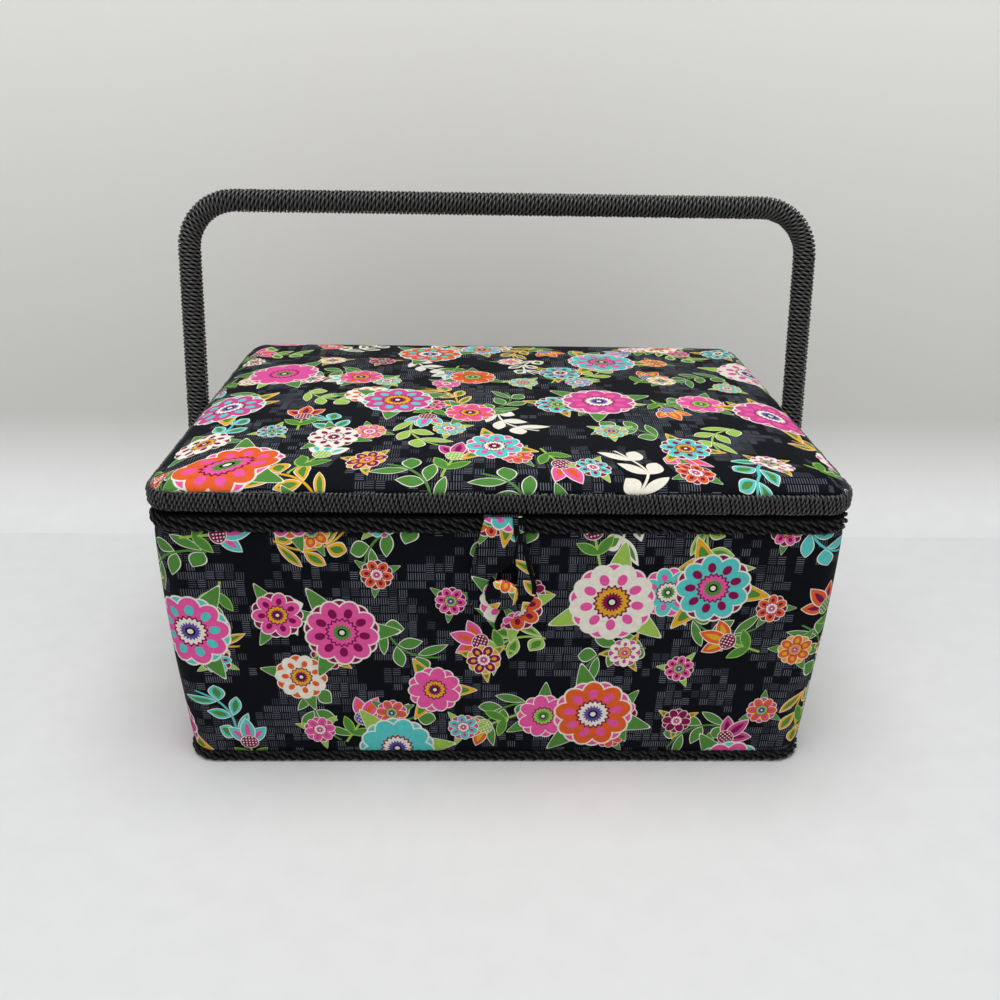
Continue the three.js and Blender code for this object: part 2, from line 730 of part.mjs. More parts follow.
// Winding of cord round the handle: one thread from end to end, crest and valley, over a bore
function handleWrap() {
  const pitch = handleLength / (wrapRibs + 1);
  const count = wrapRibs * wrapSides;
  const points = [];
  const angleAt = (n) => (n % wrapSides) * 2 * Math.PI / wrapSides;
  for (let n = 0; n <= count + wrapSides; n += 1) {
    points.push(aroundHandle(n * pitch / wrapSides, angleAt(n), wrapRadius - wrapValley));
  }
  const crest = points.length;
  for (let n = 0; n <= count; n += 1) {
    points.push(aroundHandle((n / wrapSides + 1 / 2) * pitch, angleAt(n), wrapRadius));
  }
  const triangles = [];
  const quad = (a, b, c, d) => triangles.push(a, b, c, a, c, d);
  for (let n = 0; n < count; n += 1) {
    quad(n, n + 1, crest + n + 1, crest + n);
    quad(crest + n, crest + n + 1, n + 1 + wrapSides, n + wrapSides);
  }
  const stations = [0];
  for (const start of [legLength, handleLength - legLength - bendLength]) {
    for (let step = 0; step <= bendSteps; step += 1) stations.push(start + bendLength * step / bendSteps);
  }
  stations.push(handleLength);
  const bore = points.length;
  for (const s of stations) {
    for (let n = 0; n < wrapSides; n += 1) points.push(aroundHandle(s, angleAt(n), wrapBore));
  }
  const boreEnd = bore + (stations.length - 1) * wrapSides;
  for (let n = 0; n < wrapSides; n += 1) {
    const next = (n + 1) % wrapSides;
    for (let low = bore; low < boreEnd; low += wrapSides) {
      quad(low + n, low + n + wrapSides, low + next + wrapSides, low + next);
    }
    quad(bore + n, bore + next, n + 1, n);
    quad(boreEnd + next, boreEnd + n, count + n, count + n + 1);
  }
  quad(bore, 0, crest, wrapSides);
  quad(boreEnd, count + wrapSides, crest + count, count);
  return facingOut(points, triangles);
}

// Flattened end of the handle with the eye for the pivot bolt
function handleEnd() {
  const outline = new THREE.Shape();
  const half = endWidth / 2;
  outline.absarc(0, 0, half, Math.PI, 2 * Math.PI);
  outline.lineTo(half, wrapStart - seatGap);
  outline.lineTo(-half, wrapStart - seatGap);
  outline.closePath();
  const eye = new THREE.Path();
  eye.absarc(0, 0, pivotHoleRadius, 0, 2 * Math.PI);
  outline.holes.push(eye);
  const settings = { depth: endThickness, bevelEnabled: false, curveSegments: eyeFacets };
  const plate = new THREE.ExtrudeGeometry(outline, settings);
  const turned = new THREE.Matrix4().makeBasis(
    new THREE.Vector3(0, 1, 0),
    new THREE.Vector3(0, 0, 1),
    new THREE.Vector3(1, 0, 0),
  );
  return plate.applyMatrix4(turned);
}

function handle() {
  const leaning = new THREE.Group();
  leaning.position.z = pivotHeight;
  leaning.rotation.x = THREE.MathUtils.degToRad(-handleLean);
  basket.add(leaning);
  piece('handle_core', handleCore(), steel, leaning);
  piece('handle_wrap', handleWrap(), blackCord, leaning);
  piece('handle_end_left', handleEnd(), darkSteel, leaning).position.x = -legX - endThickness / 2;
  piece('handle_end_right', handleEnd(), darkSteel, leaning).position.x = legX - endThickness / 2;
}

// The basket, put together from the floor up
piece('base_cover', loft([[recessInset, 0], [recessInset, baseSkin]].map(wallRing)), printedCotton);
const baseBoardRings = [[boardOuter, baseBoardBottom], [boardOuter, baseBoardTop]];
piece('base_board', loft(baseBoardRings.map(wallRing)), board);
wallBoards();
piece('body_cover', bodyCover(), printedCotton);
piece('body_lining', bodyLining(), satin);
piece('base_trim', cordTrim(baseTrimLift, baseCordRadius, 1, baseTrimProud), blackCord);
piece('rim_trim', cordTrim(rimTrimBottom, rimCordRadius, 2, rimTrimProud), blackCord);
piece('tray_rest_left', trayRest(-1), board);
piece('tray_rest_right', trayRest(1), board);
piece('tray', tray(), trayPlastic);
lidPanels();
piece('lid_frame', lidFrame(), board);
piece('lid_pad', lidPad(), foam);
piece('lid_cover', lidCover(), printedCotton);
piece('lid_trim', lidBand(), blackCord);
piece('pincushion', pincushion(), satin);
button();
closure();
hinges();
pivotHardware();
handle();

export default basket;
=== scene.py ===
import math
from functools import partialmethod

import bpy
import numpy as np
from mathutils import Matrix, Vector


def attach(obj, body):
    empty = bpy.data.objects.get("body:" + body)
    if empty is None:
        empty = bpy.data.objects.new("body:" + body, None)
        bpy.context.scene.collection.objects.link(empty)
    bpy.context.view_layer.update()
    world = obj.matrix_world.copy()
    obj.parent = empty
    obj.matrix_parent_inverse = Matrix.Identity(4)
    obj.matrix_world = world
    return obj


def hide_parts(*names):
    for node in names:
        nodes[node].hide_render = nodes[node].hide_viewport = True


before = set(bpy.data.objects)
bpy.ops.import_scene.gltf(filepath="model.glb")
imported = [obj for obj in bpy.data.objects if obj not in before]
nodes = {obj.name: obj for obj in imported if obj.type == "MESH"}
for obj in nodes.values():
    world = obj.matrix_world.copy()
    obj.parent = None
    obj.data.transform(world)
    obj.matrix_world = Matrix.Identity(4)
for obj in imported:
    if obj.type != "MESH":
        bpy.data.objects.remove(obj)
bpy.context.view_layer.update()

# The view. The basket is seen from close in front, a little left of its middle, from the height of
# someone sitting at the table, so that the lid's top and the long front both show.
eye_place = Vector((-0.0121, -0.5159, 0.3220))
look_down, look_right, head_tilt = (math.radians(angle) for angle in (23.88, 1.57, 1.01))
film_width, lens_share = 36, 0.984
ahead = Vector((math.sin(look_right) * math.cos(look_down),
                math.cos(look_right) * math.cos(look_down), -math.sin(look_down)))
level = Vector((math.cos(look_right), -math.sin(look_right), 0))
upright = level.cross(ahead)
rightward = math.cos(head_tilt) * level + math.sin(head_tilt) * upright
upward = math.cos(head_tilt) * upright - math.sin(head_tilt) * level
turned = Matrix((rightward, upward, -ahead)).transposed().to_4x4()
view = bpy.data.objects.new("view", bpy.data.cameras.new("view"))
view.data.sensor_width, view.data.lens = film_width, film_width * lens_share
view.data.clip_start = 0.01
view.matrix_world = Matrix.Translation(eye_place) @ turned
bpy.context.scene.collection.objects.link(view)
bpy.context.scene.camera = view


# Boards of the box: base, four walls and the two ledges that carry the tray, cut from brown
# fibreboard 3 mm thick. They are glued into a carcass, and only their cut edges show.
def dye(red, green, blue):
    """A colour as it looks on a screen, 0 to 255, given as shader nodes want it"""
    shares = [value / 255 for value in (red, green, blue)]
    return tuple(s / 12.92 if s <= 0.04045 else ((s + 0.055) / 1.055) ** 2.4 for s in shares) + (1,)


def put(tree, kind, inputs=(), **settings):
    """Places a shader node, sets it up, and joins or sets the inputs that are named"""
    node = tree.nodes.new("ShaderNode" + kind)
    for name, value in settings.items():
        setattr(node, name, value)
    for name, value in dict(inputs).items():
        value = getattr(value, "socket", value)
        if isinstance(value, bpy.types.NodeSocket):
            tree.links.new(value, node.inputs[name])
        else:
            node.inputs[name].default_value = value
    return node


def noise(place, scale, detail, **more):
    """Cloudy noise over a place"""
    inputs = {"Vector": place, "Scale": scale, "Detail": detail, **more}
    return put(place.id_data, "TexNoise", inputs).outputs["Fac"]


def ranged(value, low=0.0, high=1.0, start=0.0, end=1.0, **settings):
    """A number that goes from low to high while another goes from start to end"""
    inputs = {"Value": value, "From Min": start, "From Max": end, "To Min": low, "To Max": high}
    return put(value.id_data, "MapRange", inputs, **settings).outputs["Result"]


def mixed(share, first, second):
    """Two colours mixed, by the share of the second"""
    inputs = {"Factor": share, "A": first, "B": second}
    return put(share.id_data, "Mix", inputs, data_type="RGBA").outputs["Result"]


def moved(place, by, operation="ADD"):
    """A place with another added to it, taken from it or multiplied with it"""
    return put(place.id_data, "VectorMath", {0: place, 1: by}, operation=operation).outputs[0]


def relief(height, strength, depth, **more):
    """The slopes of a fine relief, its depth in metres"""
    inputs = {"Height": height, "Strength": strength, "Distance": depth, **more}
    return put(height.id_data, "Bump", inputs).outputs["Normal"]


def surface(name, **constants):
    """A material whose shader has these plain values; returns it with its shader"""
    material = bpy.data.materials.new(name)
    material.use_nodes = True
    shader = material.node_tree.nodes["Principled BSDF"]
    for socket, value in constants.items():
        shader.inputs[socket.replace("_", " ")].default_value = value
    return material, shader


def fed(shader, **sources):
    """Joins what the nodes give to the shader's inputs of these names"""
    for socket, source in sources.items():
        shader.id_data.links.new(source, shader.inputs[socket.replace("_", " ")])


def effect(name, inputs, outputs):
    """An empty group of shader nodes with named inputs and outputs, and its two end nodes"""
    group = bpy.data.node_groups.new(name, "ShaderNodeTree")
    for socket, (kind, value) in inputs.items():
        made = group.interface.new_socket(socket, in_out="INPUT", socket_type="NodeSocket" + kind)
        if value is not None:
            made.default_value = value
    for socket, kind in outputs.items():
        group.interface.new_socket(socket, in_out="OUTPUT", socket_type="NodeSocket" + kind)
    return group, group.nodes.new("NodeGroupInput").outputs, group.nodes.new("NodeGroupOutput").inputs


speckle, given, results = effect("speckle", {
    "Place": ("Vector", None), "Grain": ("Float", 900.0), "Patches": ("Float", 30.0),
    "Light": ("Color", (1, 1, 1, 1)), "Dark": ("Color", (0, 0, 0, 1)),
    "Dull": ("Float", 0.9), "Shiny": ("Float", 0.7)},
    {"Colour": "Color", "Roughness": "Float", "Height": "Float"})
both = put(speckle, "Math", {0: noise(given["Place"], given["Grain"], 3.0),
                             1: noise(given["Place"], given["Patches"], 2.0)}, operation="ADD")
patchy = ranged(both.outputs[0], start=0.75, end=1.25)
for result, source in (("Colour", mixed(patchy, given["Dark"], given["Light"])),
                       ("Roughness", ranged(patchy, given["Dull"], given["Shiny"])), ("Height", patchy)):
    speckle.links.new(source, results[result])


def worked(group, place, **more):
    """What a group of nodes gives at a place"""
    return put(place.id_data, "Group", {"Place": place, **more}, node_tree=group).outputs


def speckles(shader, light, dark, **more):
    """Speckles all over a material: their colour, roughness and height"""
    where = put(shader.id_data, "TexCoord").outputs["Object"]
    return worked(speckle, where, Light=light, Dark=dark, **more)


def speckled(name, light, dark, shiny, dull, grain, depth, **constants):
    """A material speckled alike all over, as board, moulded plastic and plated metal are"""
    material, shader = surface(name, **constants)
    marks = speckles(shader, light, dark, Grain=grain, Dull=dull, Shiny=shiny)
    fed(shader, Base_Color=marks["Colour"], Roughness=marks["Roughness"],
        Normal=relief(marks["Height"], 0.5, depth))
    return material


def dressed(name, material, edge=0.0, segments=2):
    """Gives a part of the frame its finish, and breaks its sharp edges where it has an edge size"""
    part = nodes[name]
    for place in part.material_slots:
        place.material = material
    if edge:
        part.modifiers.new("joined corners", "WELD").merge_threshold = 0.00001
        broken = part.modifiers.new("broken edges", "BEVEL")
        broken.width, broken.segments, broken.limit_method = edge, segments, "ANGLE"
        broken.angle_limit = math.radians(35)


fibreboard = speckled("brown fibreboard", dye(178, 150, 114), dye(128, 100, 70), 0.8, 0.95, 1400, 0.0001)
for board in ("base_board", "front_board", "back_board", "left_board", "right_board"):
    dressed(board, fibreboard)
for ledge in ("tray_rest_left", "tray_rest_right"):
    dressed(ledge, fibreboard, 0.0004)


# Outside cloth of the box: one band of printed cotton stretched round the boards, joined up the
# middle of the back, turned over the rim and under the base, where a second flat piece is glued.
lid_long, lid_short, box_high, corner, least_corner = 0.160, 0.120, 0.1374, 0.014, 0.002
drawn_in, taper = 0.0012, 0.0046


def walk(step, bends):
    """Stops round the box from the middle of its back by the left: each one's place on the straight
    sides, from -1 to 1, its outward heading, and its way round from the middle of the front"""
    turns = np.array([(0, 1), (-1, 1), (-1, -1), (1, -1), (1, 1), (0, 1)])
    stops, ways, way = [], [], 0.0
    for number, (start, end) in enumerate(zip(turns, turns[1:]), 1):
        length = abs((end - start) @ [lid_long - corner, lid_short - corner])
        count = round(length / step)
        for share in np.arange(count) / count:
            stops.append([*(start + (end - start) * share), 90 * number])
            ways.append(way + length * share)
        way += length
        if number < 5:
            for share in np.arange(bends) / bends:
                stops.append([*end, 90 * (number + share)])
                ways.append(way + corner * math.pi / 2 * share)
            way += corner * math.pi / 2
    stops, ways = np.array(stops, float), np.array(ways + [way]) - way / 2
    stops[:, 2] = np.radians(stops[:, 2])
    return stops, ways


def outward(stops):
    """The level direction out of the box at each stop"""
    return np.column_stack([np.cos(stops[:, 2]), np.sin(stops[:, 2])])


def ring(stops, inset, height, narrower=0.0):
    """Points round the lid's rounded rectangle, narrowed and drawn in by an inset, at a height"""
    inset = min(inset, lid_short - narrower)
    bend = min(max(corner - inset, least_corner), lid_short - narrower - inset)
    halves = [lid_long - narrower - inset - bend, lid_short - narrower - inset - bend]
    return np.column_stack([stops[:, :2] * halves + bend * outward(stops), np.full(len(stops), height)])


def wall_inset(height):
    """How far the wall stands in from the lid's edge at a height, as the box narrows downwards"""
    return drawn_in + taper * (1 - height / box_high)


def wall_ring(stops, inset, height):
    """Points round the wall of the box, which keeps its corner round"""
    return ring(stops, inset, height, wall_inset(height))


def stacked(at, stops, rows):
    """Points of rings, one ring after another, from pairs of inset and height"""
    return np.concatenate([at(stops, inset, height) for inset, height in rows])


def lengths(places):
    """How far along a line each of its places comes"""
    return np.concatenate([[0], np.cumsum(np.linalg.norm(np.diff(places, axis=0), axis=1))])


def web(rows, columns, closed=True):
    """Quads of a net of points, and for each corner its row and column counted on past the join"""
    r, c = np.meshgrid(np.arange(rows - 1), np.arange(columns if closed else columns - 1), indexing="ij")
    steps = ((0, 0), (0, 1), (1, 1), (1, 0))
    cells = np.stack([np.stack([r + dr, c + dc], -1) for dr, dc in steps], 2).reshape(-1, 4, 2)
    return cells[..., 0] * columns + cells[..., 1] % columns, cells


def net(rows, stops, turned=False):
    """Quads between rings of as many points as there are stops, turned over where asked"""
    return web(len(rows), len(stops))[0][:, ::-1 if turned else 1]


def meshed(name, points, quads, material, **maps):
    """A smooth mesh piece; each map gives two numbers for each corner"""
    mesh = bpy.data.meshes.new(name)
    mesh.from_pydata(np.reshape(points, (-1, 3)).tolist(), [], np.array(quads).tolist())
    for label, places in maps.items():
        mesh.uv_layers.new(name=label).data.foreach_set("uv", np.reshape(places, -1))
    mesh.shade_smooth()
    mesh.materials.append(material)
    piece = bpy.data.objects.new(name, mesh)
    bpy.context.scene.collection.objects.link(piece)
    return piece


def made(name, points, quads, material, body, slot, **maps):
    """The same as a piece of the basket, which rides on one of its bodies"""
    piece = meshed(name, points, quads, material, **maps)
    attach(piece, body)
    return piece


def joined(piece):
    """Joins the points of a sheet's innermost ring where they meet"""
    piece.modifiers.new("joined", "WELD").merge_threshold = 0.00002


def thick(piece, depth):
    """Gives a joined sheet its thickness, inwards"""
    joined(piece)
    solid = piece.modifiers.new("thickness", "SOLIDIFY")
    solid.thickness, solid.offset, solid.use_even_offset = depth, -1.0, False


def swell(points, seed, *waves):
    """Slow ripples over points: for each wave its size in metres and how far it moves the cloth"""
    rng = np.random.default_rng(seed)
    total = np.zeros(len(points))
    for size, reach in waves:
        for _ in range(5):
            heading = rng.normal(size=3)
            heading /= np.linalg.norm(heading)
            total += reach / 2.2 * np.sin(points @ heading * 2 * math.pi / size / rng.uniform(0.7, 1.4)
                                          + rng.uniform(0, 6.3))
    return total


class Amount:
    """A number on the cloth, so that the print's shapes can be written as sums"""

    def __init__(self, socket):
        self.socket = socket

    def by(self, operation, *others, **settings):
        inputs = dict(enumerate((self, *others)))
        return Amount(put(self.socket.id_data, "Math", inputs, operation=operation, **settings).outputs[0])

    __add__, __sub__ = partialmethod(by, "ADD"), partialmethod(by, "SUBTRACT")
    __mul__, __truediv__ = partialmethod(by, "MULTIPLY"), partialmethod(by, "DIVIDE")
    __and__, __or__ = partialmethod(by, "MINIMUM"), partialmethod(by, "MAXIMUM")
    size, root = partialmethod(by, "ABSOLUTE"), partialmethod(by, "SQRT")

    def crisp(self, edge=0.0, soft=0.0002):
        """1 where the number is over an edge and 0 below it, with a hair's breadth between"""
        return ((self - edge) / soft + 0.5).by("ADD", 0.0, use_clamp=True)

    def within(self, half):
        """How far the number is inside a band round 0"""
        return (self.size() - half) * -1


def split(place):
    """The three coordinates of a place"""
    return [Amount(side) for side in put(place.id_data, "SeparateXYZ", {0: place}).outputs]


flower_print, given, results = effect("flower print", {"Place": ("Vector", None)}, {"Colour": "Color"})
spot = given["Place"]


class Bed:
    """Motifs strewn over cloth, one to a cell: from each point, how far its motif's middle is and
    which way, and four shares that differ from motif to motif"""

    def __init__(self, cell, stray, shift):
        shifted = moved(spot, shift)
        cells = put(flower_print, "TexVoronoi", {"Vector": shifted, "Scale": 1 / cell, "Randomness": stray},
                    voronoi_dimensions="2D").outputs
        chances = put(flower_print, "SeparateColor", {0: cells["Color"]})
        self.home = cells["Position"]
        self.across, self.along = split(moved(shifted, self.home, "SUBTRACT"))[:2]
        self.chances = [Amount(chances.outputs[i]) for i in range(3)]
        self.chances.append((self.chances[0] * 7.3 + self.chances[1] * 5.1).by("FRACT"))
        self.far = (self.across * self.across + self.along * self.along).root()
        self.facing = self.along.by("ARCTAN2", self.across)

    def petals(self, count, middle, long, wide, spin=0.0, pointed=0.0):
        """How deep a point lies in a ring of petals: 1 in a petal's middle and 0 at its edge"""
        half = math.pi / count
        turned = self.facing + self.chances[2] * 6.283 + spin
        folded = turned.by("WRAP", half, -half)
        out = self.far * folded.by("COSINE") - middle
        aside = self.far * folded.by("SINE")
        narrowing = (out * (-pointed / long) + 1) * wide
        out, aside = out / long, aside / narrowing
        return (out * out + aside * aside).root() * -1 + 1

    def turned(self):
        """The point's place beside the motif's middle, seen along the motif's own direction"""
        angle = self.chances[2] * 6.283
        cosine, sine = angle.by("COSINE"), angle.by("SINE")
        return (self.across * cosine + self.along * sine, self.along * cosine - self.across * sine)


def leaf(along, aside, long, wide):
    """How deep a point lies in a leaf with two pointed ends"""
    ahead = along / long
    return (ahead * ahead + aside.size() / wide) * -1 + 1


ground, ground_mark = dye(3, 6, 14), dye(114, 118, 128)
cream, pink, rose = dye(238, 232, 216), dye(233, 88, 160), dye(204, 74, 142)
wine, orange, turquoise = dye(134, 14, 76), dye(228, 96, 42), dye(88, 200, 196)
leaf_green, lime, mustard, violet = dye(82, 138, 60), dye(158, 194, 84), dye(228, 170, 38), dye(96, 74, 154)
layers = [ground]


def ink(colour, where):
    """Lays an ink over what is printed already, where a mask says"""
    layers.append(mixed(where.socket, layers[-1], colour))


def pick(share, inks):
    """One of a row of inks, by a share from 0 to 1"""
    node = put(flower_print, "ValToRGB", {"Fac": share})
    node.color_ramp.interpolation = "CONSTANT"
    stops = node.color_ramp.elements
    while len(stops) < len(inks):
        stops.new(0.5)
    for place, (stop, colour) in enumerate(zip(stops, inks)):
        stop.position, stop.color = place / len(inks), colour
    return node.outputs["Color"]


def blossoms(bed, often, size, petals, inks, second, hearts, eyes):
    """One layer of round flowers: leaves behind, petals with a pale edge, and a ringed heart"""
    shown = bed.chances[3].by("LESS_THAN", often)
    bed.far = bed.far / (bed.chances[0] * 0.14 + 0.86)
    sprays = bed.petals(3, size * 0.92, size * 0.62, size * 0.25, spin=0.5, pointed=0.55)
    back = bed.petals(petals, size * 0.62, size * 0.36, size * 0.3, spin=math.pi / petals)
    front = bed.petals(petals, size * 0.6, size * 0.38, size * 0.29)
    greens = pick(bed.chances[1], (leaf_green, lime, mustard, leaf_green))
    first, second = pick(bed.chances[1], inks), pick(bed.chances[0], second)
    for shape, edge, soft, colour in (
            (sprays, -0.05, 0.03, cream), (sprays, 0.03, 0.03, greens),
            (sprays & bed.chances[1].crisp(0.5), 0.42, 0.03, leaf_green), (sprays, 0.9, 0.03, cream),
            (back, -0.08, 0.04, cream), (back, 0.05, 0.04, second), (front, -0.06, 0.04, cream),
            (front, 0.07, 0.04, first), (front, 0.62, 0.04, second)):
        ink(colour, shape.crisp(edge, soft) & shown)
    scallop = (bed.facing * (petals * 2)).by("SINE") * (size * 0.03)
    for reach, row in ((0.42, (wine,)), (0.36, hearts), (0.23, eyes), (0.12, (ground,)), (0.07, (cream,))):
        far = bed.far - scallop if reach > 0.2 else bed.far
        ink(pick(bed.chances[2], row), ((far - size * reach) * -1).crisp() & shown)


# short grey strokes on the ground, upright in one small block and level in the next, in patches
block, stroke_gap, stroke_thin, stroke_long = 0.0044, 0.00055, 0.00017, 0.0018
blocks = Bed(block, 0.0, (0.011, 0.007, 0))
upright = blocks.chances[1].crisp(0.35)
shaken = Amount(noise(spot, 420.0, 1.0)) * 0.0003
crossed = (blocks.across - blocks.along) * upright + blocks.along + shaken
lengthwise = (blocks.along - blocks.across) * upright + blocks.across
stroke = crossed.by("WRAP", stroke_gap, -stroke_gap).within(stroke_thin).crisp(0, 0.00008)
stroke = stroke & lengthwise.within(stroke_long).crisp()
patches = Amount(noise(blocks.home, 34.0, 1.0)) - blocks.chances[0] * 0.2
ink(ground_mark, stroke & patches.crisp(0.40) & (blocks.chances[3] * 0.75 + 0.25))

# curling stems with paired leaves
stem_thin, stem_long, stem_curl, leaf_gap = 0.0006, 0.0165, 26, 0.0055
sprigs = Bed(0.049, 0.4, (0.4, 0.13, 0))
along, aside = sprigs.turned()
bent = aside - along * along * stem_curl + 0.002
reach = along.within(stem_long)
spaced, sideways = along.by("WRAP", leaf_gap, -leaf_gap), bent.size() - 0.0048
leaves = leaf(spaced * 0.72 + sideways * 0.69, sideways * 0.72 - spaced * 0.69, 0.0058, 0.0029)
sprig_ink = pick(sprigs.chances[1], (leaf_green, lime, mustard, leaf_green, turquoise, cream))
kept = reach.crisp(0.0, 0.0004)
ink(cream, leaves.crisp(-0.1, 0.05) & kept)
ink(sprig_ink, (bent.within(stem_thin) & reach).crisp() | (leaves.crisp(0.05, 0.05) & kept))
ink(leaf_green, leaves.crisp(0.5, 0.05) & kept & sprigs.chances[0].crisp(0.4))

# tulips: three pointed petals out of a dotted cup, on a stem
tulips = Bed(0.058, 0.45, (0.31, 0.57, 0))
along, aside = tulips.turned()
growing = tulips.chances[3].by("LESS_THAN", 0.85)
stem = aside.within(stem_thin) & (along + 0.0085).size().by("SUBTRACT", 0.0085) * -1
low, beside = along + 0.0105, aside.size()
fronds = leaf(low * 0.64 + beside * 0.77 - 0.005, beside * 0.64 - low * 0.77, 0.0062, 0.0024)
ink(lime, (stem.crisp() | fronds.crisp(-0.1, 0.05)) & growing)
ink(leaf_green, fronds.crisp(0.12, 0.05) & growing)
petal_ink = pick(tulips.chances[0], (orange, turquoise, pink, orange, cream, rose))
middle_ink = pick(tulips.chances[0], (wine, pink, orange, mustard, turquoise, wine))
low = along - 0.001
for petal in (leaf(low * 0.68 + beside * 0.73 - 0.0058, beside * 0.68 - low * 0.73, 0.0072, 0.0034),
              leaf(along - 0.0075, aside, 0.0082, 0.0036)):
    for edge, colour in ((-0.08, cream), (0.06, petal_ink), (0.6, middle_ink)):
        ink(colour, petal.crisp(edge, 0.04) & growing)
cup = (((along - 0.0005) * 1.15).by("POWER", 2.0) + aside * aside).root() * -1
ink(cream, cup.crisp(-0.0047) & growing)
ink(pick(tulips.chances[1], (wine, lime, violet, leaf_green)), cup.crisp(-0.0043) & growing)
dot_x, dot_y = (side.by("WRAP", 0.0008, -0.0008).by("POWER", 2.0) for side in (along, aside))
dots = ((dot_x + dot_y).root() * -1).crisp(-0.00042, 0.0001)
ink(cream, dots & cup.crisp(-0.0038) & growing)

# small, middling and large flowers, the larger over the smaller
blossoms(Bed(0.038, 0.5, (0.71, 0.29, 0)), 0.72, 0.0086, 6, (orange, pink, turquoise, wine, cream, orange),
         (wine, rose, mustard), (cream, mustard, lime), (pink, violet))
blossoms(Bed(0.057, 0.5, (0.17, 0.83, 0)), 0.75, 0.0138, 7, (pink, orange, rose, turquoise, pink, cream),
         (wine, orange, pink), (lime, cream, mustard), (leaf_green, wine))
blossoms(Bed(0.089, 0.55, (0.53, 0.37, 0)), 0.85, 0.0205, 9, (pink, cream, turquoise, rose, orange),
         (wine, turquoise, pink), (mustard, pink, cream), (wine, leaf_green, violet))
flower_print.links.new(layers[-1], results["Colour"])

weave, given, results = effect("plain weave", {"Place": ("Vector", None), "Thread": ("Float", 0.0004)},
                               {"Height": "Float", "Worn": "Float"})
thread = Amount(given["Thread"])
warp, weft = ((side / thread * math.pi).by("SINE") for side in split(given["Place"])[:2])
uneven = noise(given["Place"], 350.0, 3.0)
height = warp * weft + Amount(uneven) * 0.8
weave.links.new((height * 0.4 + 0.3).socket, results["Height"])
weave.links.new(uneven, results["Worn"])


def laid(shader, label):
    """Where a point lies on one of its piece's own maps"""
    return put(shader.id_data, "UVMap", uv_map=label).outputs[0]


def cotton(name, shift):
    """Printed cotton whose print is laid a little differently from piece to piece"""
    material, shader = surface(name, Specular_IOR_Level=0.12)
    cloth = laid(shader, "Cloth")
    picture, threads = worked(flower_print, moved(cloth, shift)), worked(weave, cloth)
    faded = ranged(threads["Worn"], 0.92, 1.08, 0.3, 0.75)
    toned = put(shader.id_data, "VectorMath", {0: picture["Colour"], "Scale": faded}, operation="SCALE")
    fed(shader, Base_Color=toned.outputs[0], Roughness=ranged(threads["Height"], 0.9, 0.7),
        Normal=relief(threads["Height"], 0.35, 0.0001))
    return material


stops, ways = walk(0.004, 8)


def cloth_band(name, rows, material, slot, ripple):
    """A band of cloth round the box from rings of inset and height, with its cloth coordinates"""
    points = stacked(wall_ring, stops, rows)
    facing = np.tile(np.column_stack([outward(stops), 0 * stops[:, 2]]), (len(rows), 1))
    quads, cells = web(len(rows), len(stops))
    places = np.stack([ways[cells[..., 1]], lengths(rows)[cells[..., 0]]], -1)
    return made(name, points + facing * ripple(points)[:, None], quads, material, "box", slot, Cloth=places)


wall = [(0.0021, 0.0012), (0.0012, 0.0013), (0.0009, 0.002), (0.0010, 0.0052), (0.0003, 0.0068), (0, 0.009)]
wall += [(0, height) for height in np.linspace(0.013, 0.126, 30)]
wall += [(0.0002, 0.1285), (0.0010, 0.1298), (0.0011, 0.1355), (0.0012, 0.1368), (0.0017, 0.1373),
         (0.0035, 0.1374), (0.0050, 0.1374), (0.0056, 0.1372)]
pivot_height, pivot_reach, pillow = 0.092, 0.016, 0.0014


def wall_ripple(points):
    """The cloth's slight pillow between its edges, drawn in at the pivots, and a few slack places"""
    share = np.clip((points[:, 2] - 0.008) / 0.12, 0, 1)
    edge_free = np.sin(share * math.pi) ** 0.7
    from_pivot = (points[:, 1] ** 2 + (points[:, 2] - pivot_height) ** 2) / pivot_reach ** 2
    drawn = np.where(np.abs(points[:, 0]) > 0.13, 1 - np.exp(-from_pivot), 1)
    return edge_free * drawn * (pillow + swell(points, 3, (0.09, 0.0003), (0.03, 0.00008)))


box_cloth = cloth_band("box_cloth", wall, cotton("printed cotton of the box", (0, 0, 0)), "printed_cotton",
                       wall_ripple)
thick(box_cloth, 0.0005)
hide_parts("body_cover")

rows = [(0.0012, 0.0006), (0.0013, 0.0001)]
rows += [(inset, 0.0) for inset in (0.0025, 0.012, 0.03, 0.06, 0.09, 0.108, 0.2)]
points, quads = stacked(wall_ring, stops, rows), net(rows, stops, True)
base_cotton = cotton("printed cotton of the base", (0.21, 0.4, 0))
base_cloth = made("base_cloth", points, quads, base_cotton, "box", "printed_cotton",
                  Cloth=points[quads][..., :2] * [1, -1])
thick(base_cloth, 0.0006)
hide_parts("base_cover")


# Satin lining of the box: a band of pink lining satin glued inside the four walls and folded at the
# rim, and a floor panel over card, tucked into the corners.
def satin(name):
    """Woven satin, with long floating threads that shine across, and soft creases"""
    material, shader = surface(name, Sheen_Weight=0.25, Sheen_Roughness=0.3, Anisotropic=0.5)
    cloth = laid(shader, "Cloth")
    threads, broad = worked(weave, cloth, Thread=0.00028), noise(cloth, 26.0, 3.0)
    creased = relief(broad, 0.5, 0.002)
    fed(shader, Base_Color=mixed(broad, dye(176, 44, 110), dye(206, 66, 140)),
        Roughness=ranged(threads["Worn"], 0.25, 0.5),
        Normal=relief(threads["Height"], 0.3, 0.00005, Normal=creased))
    return material


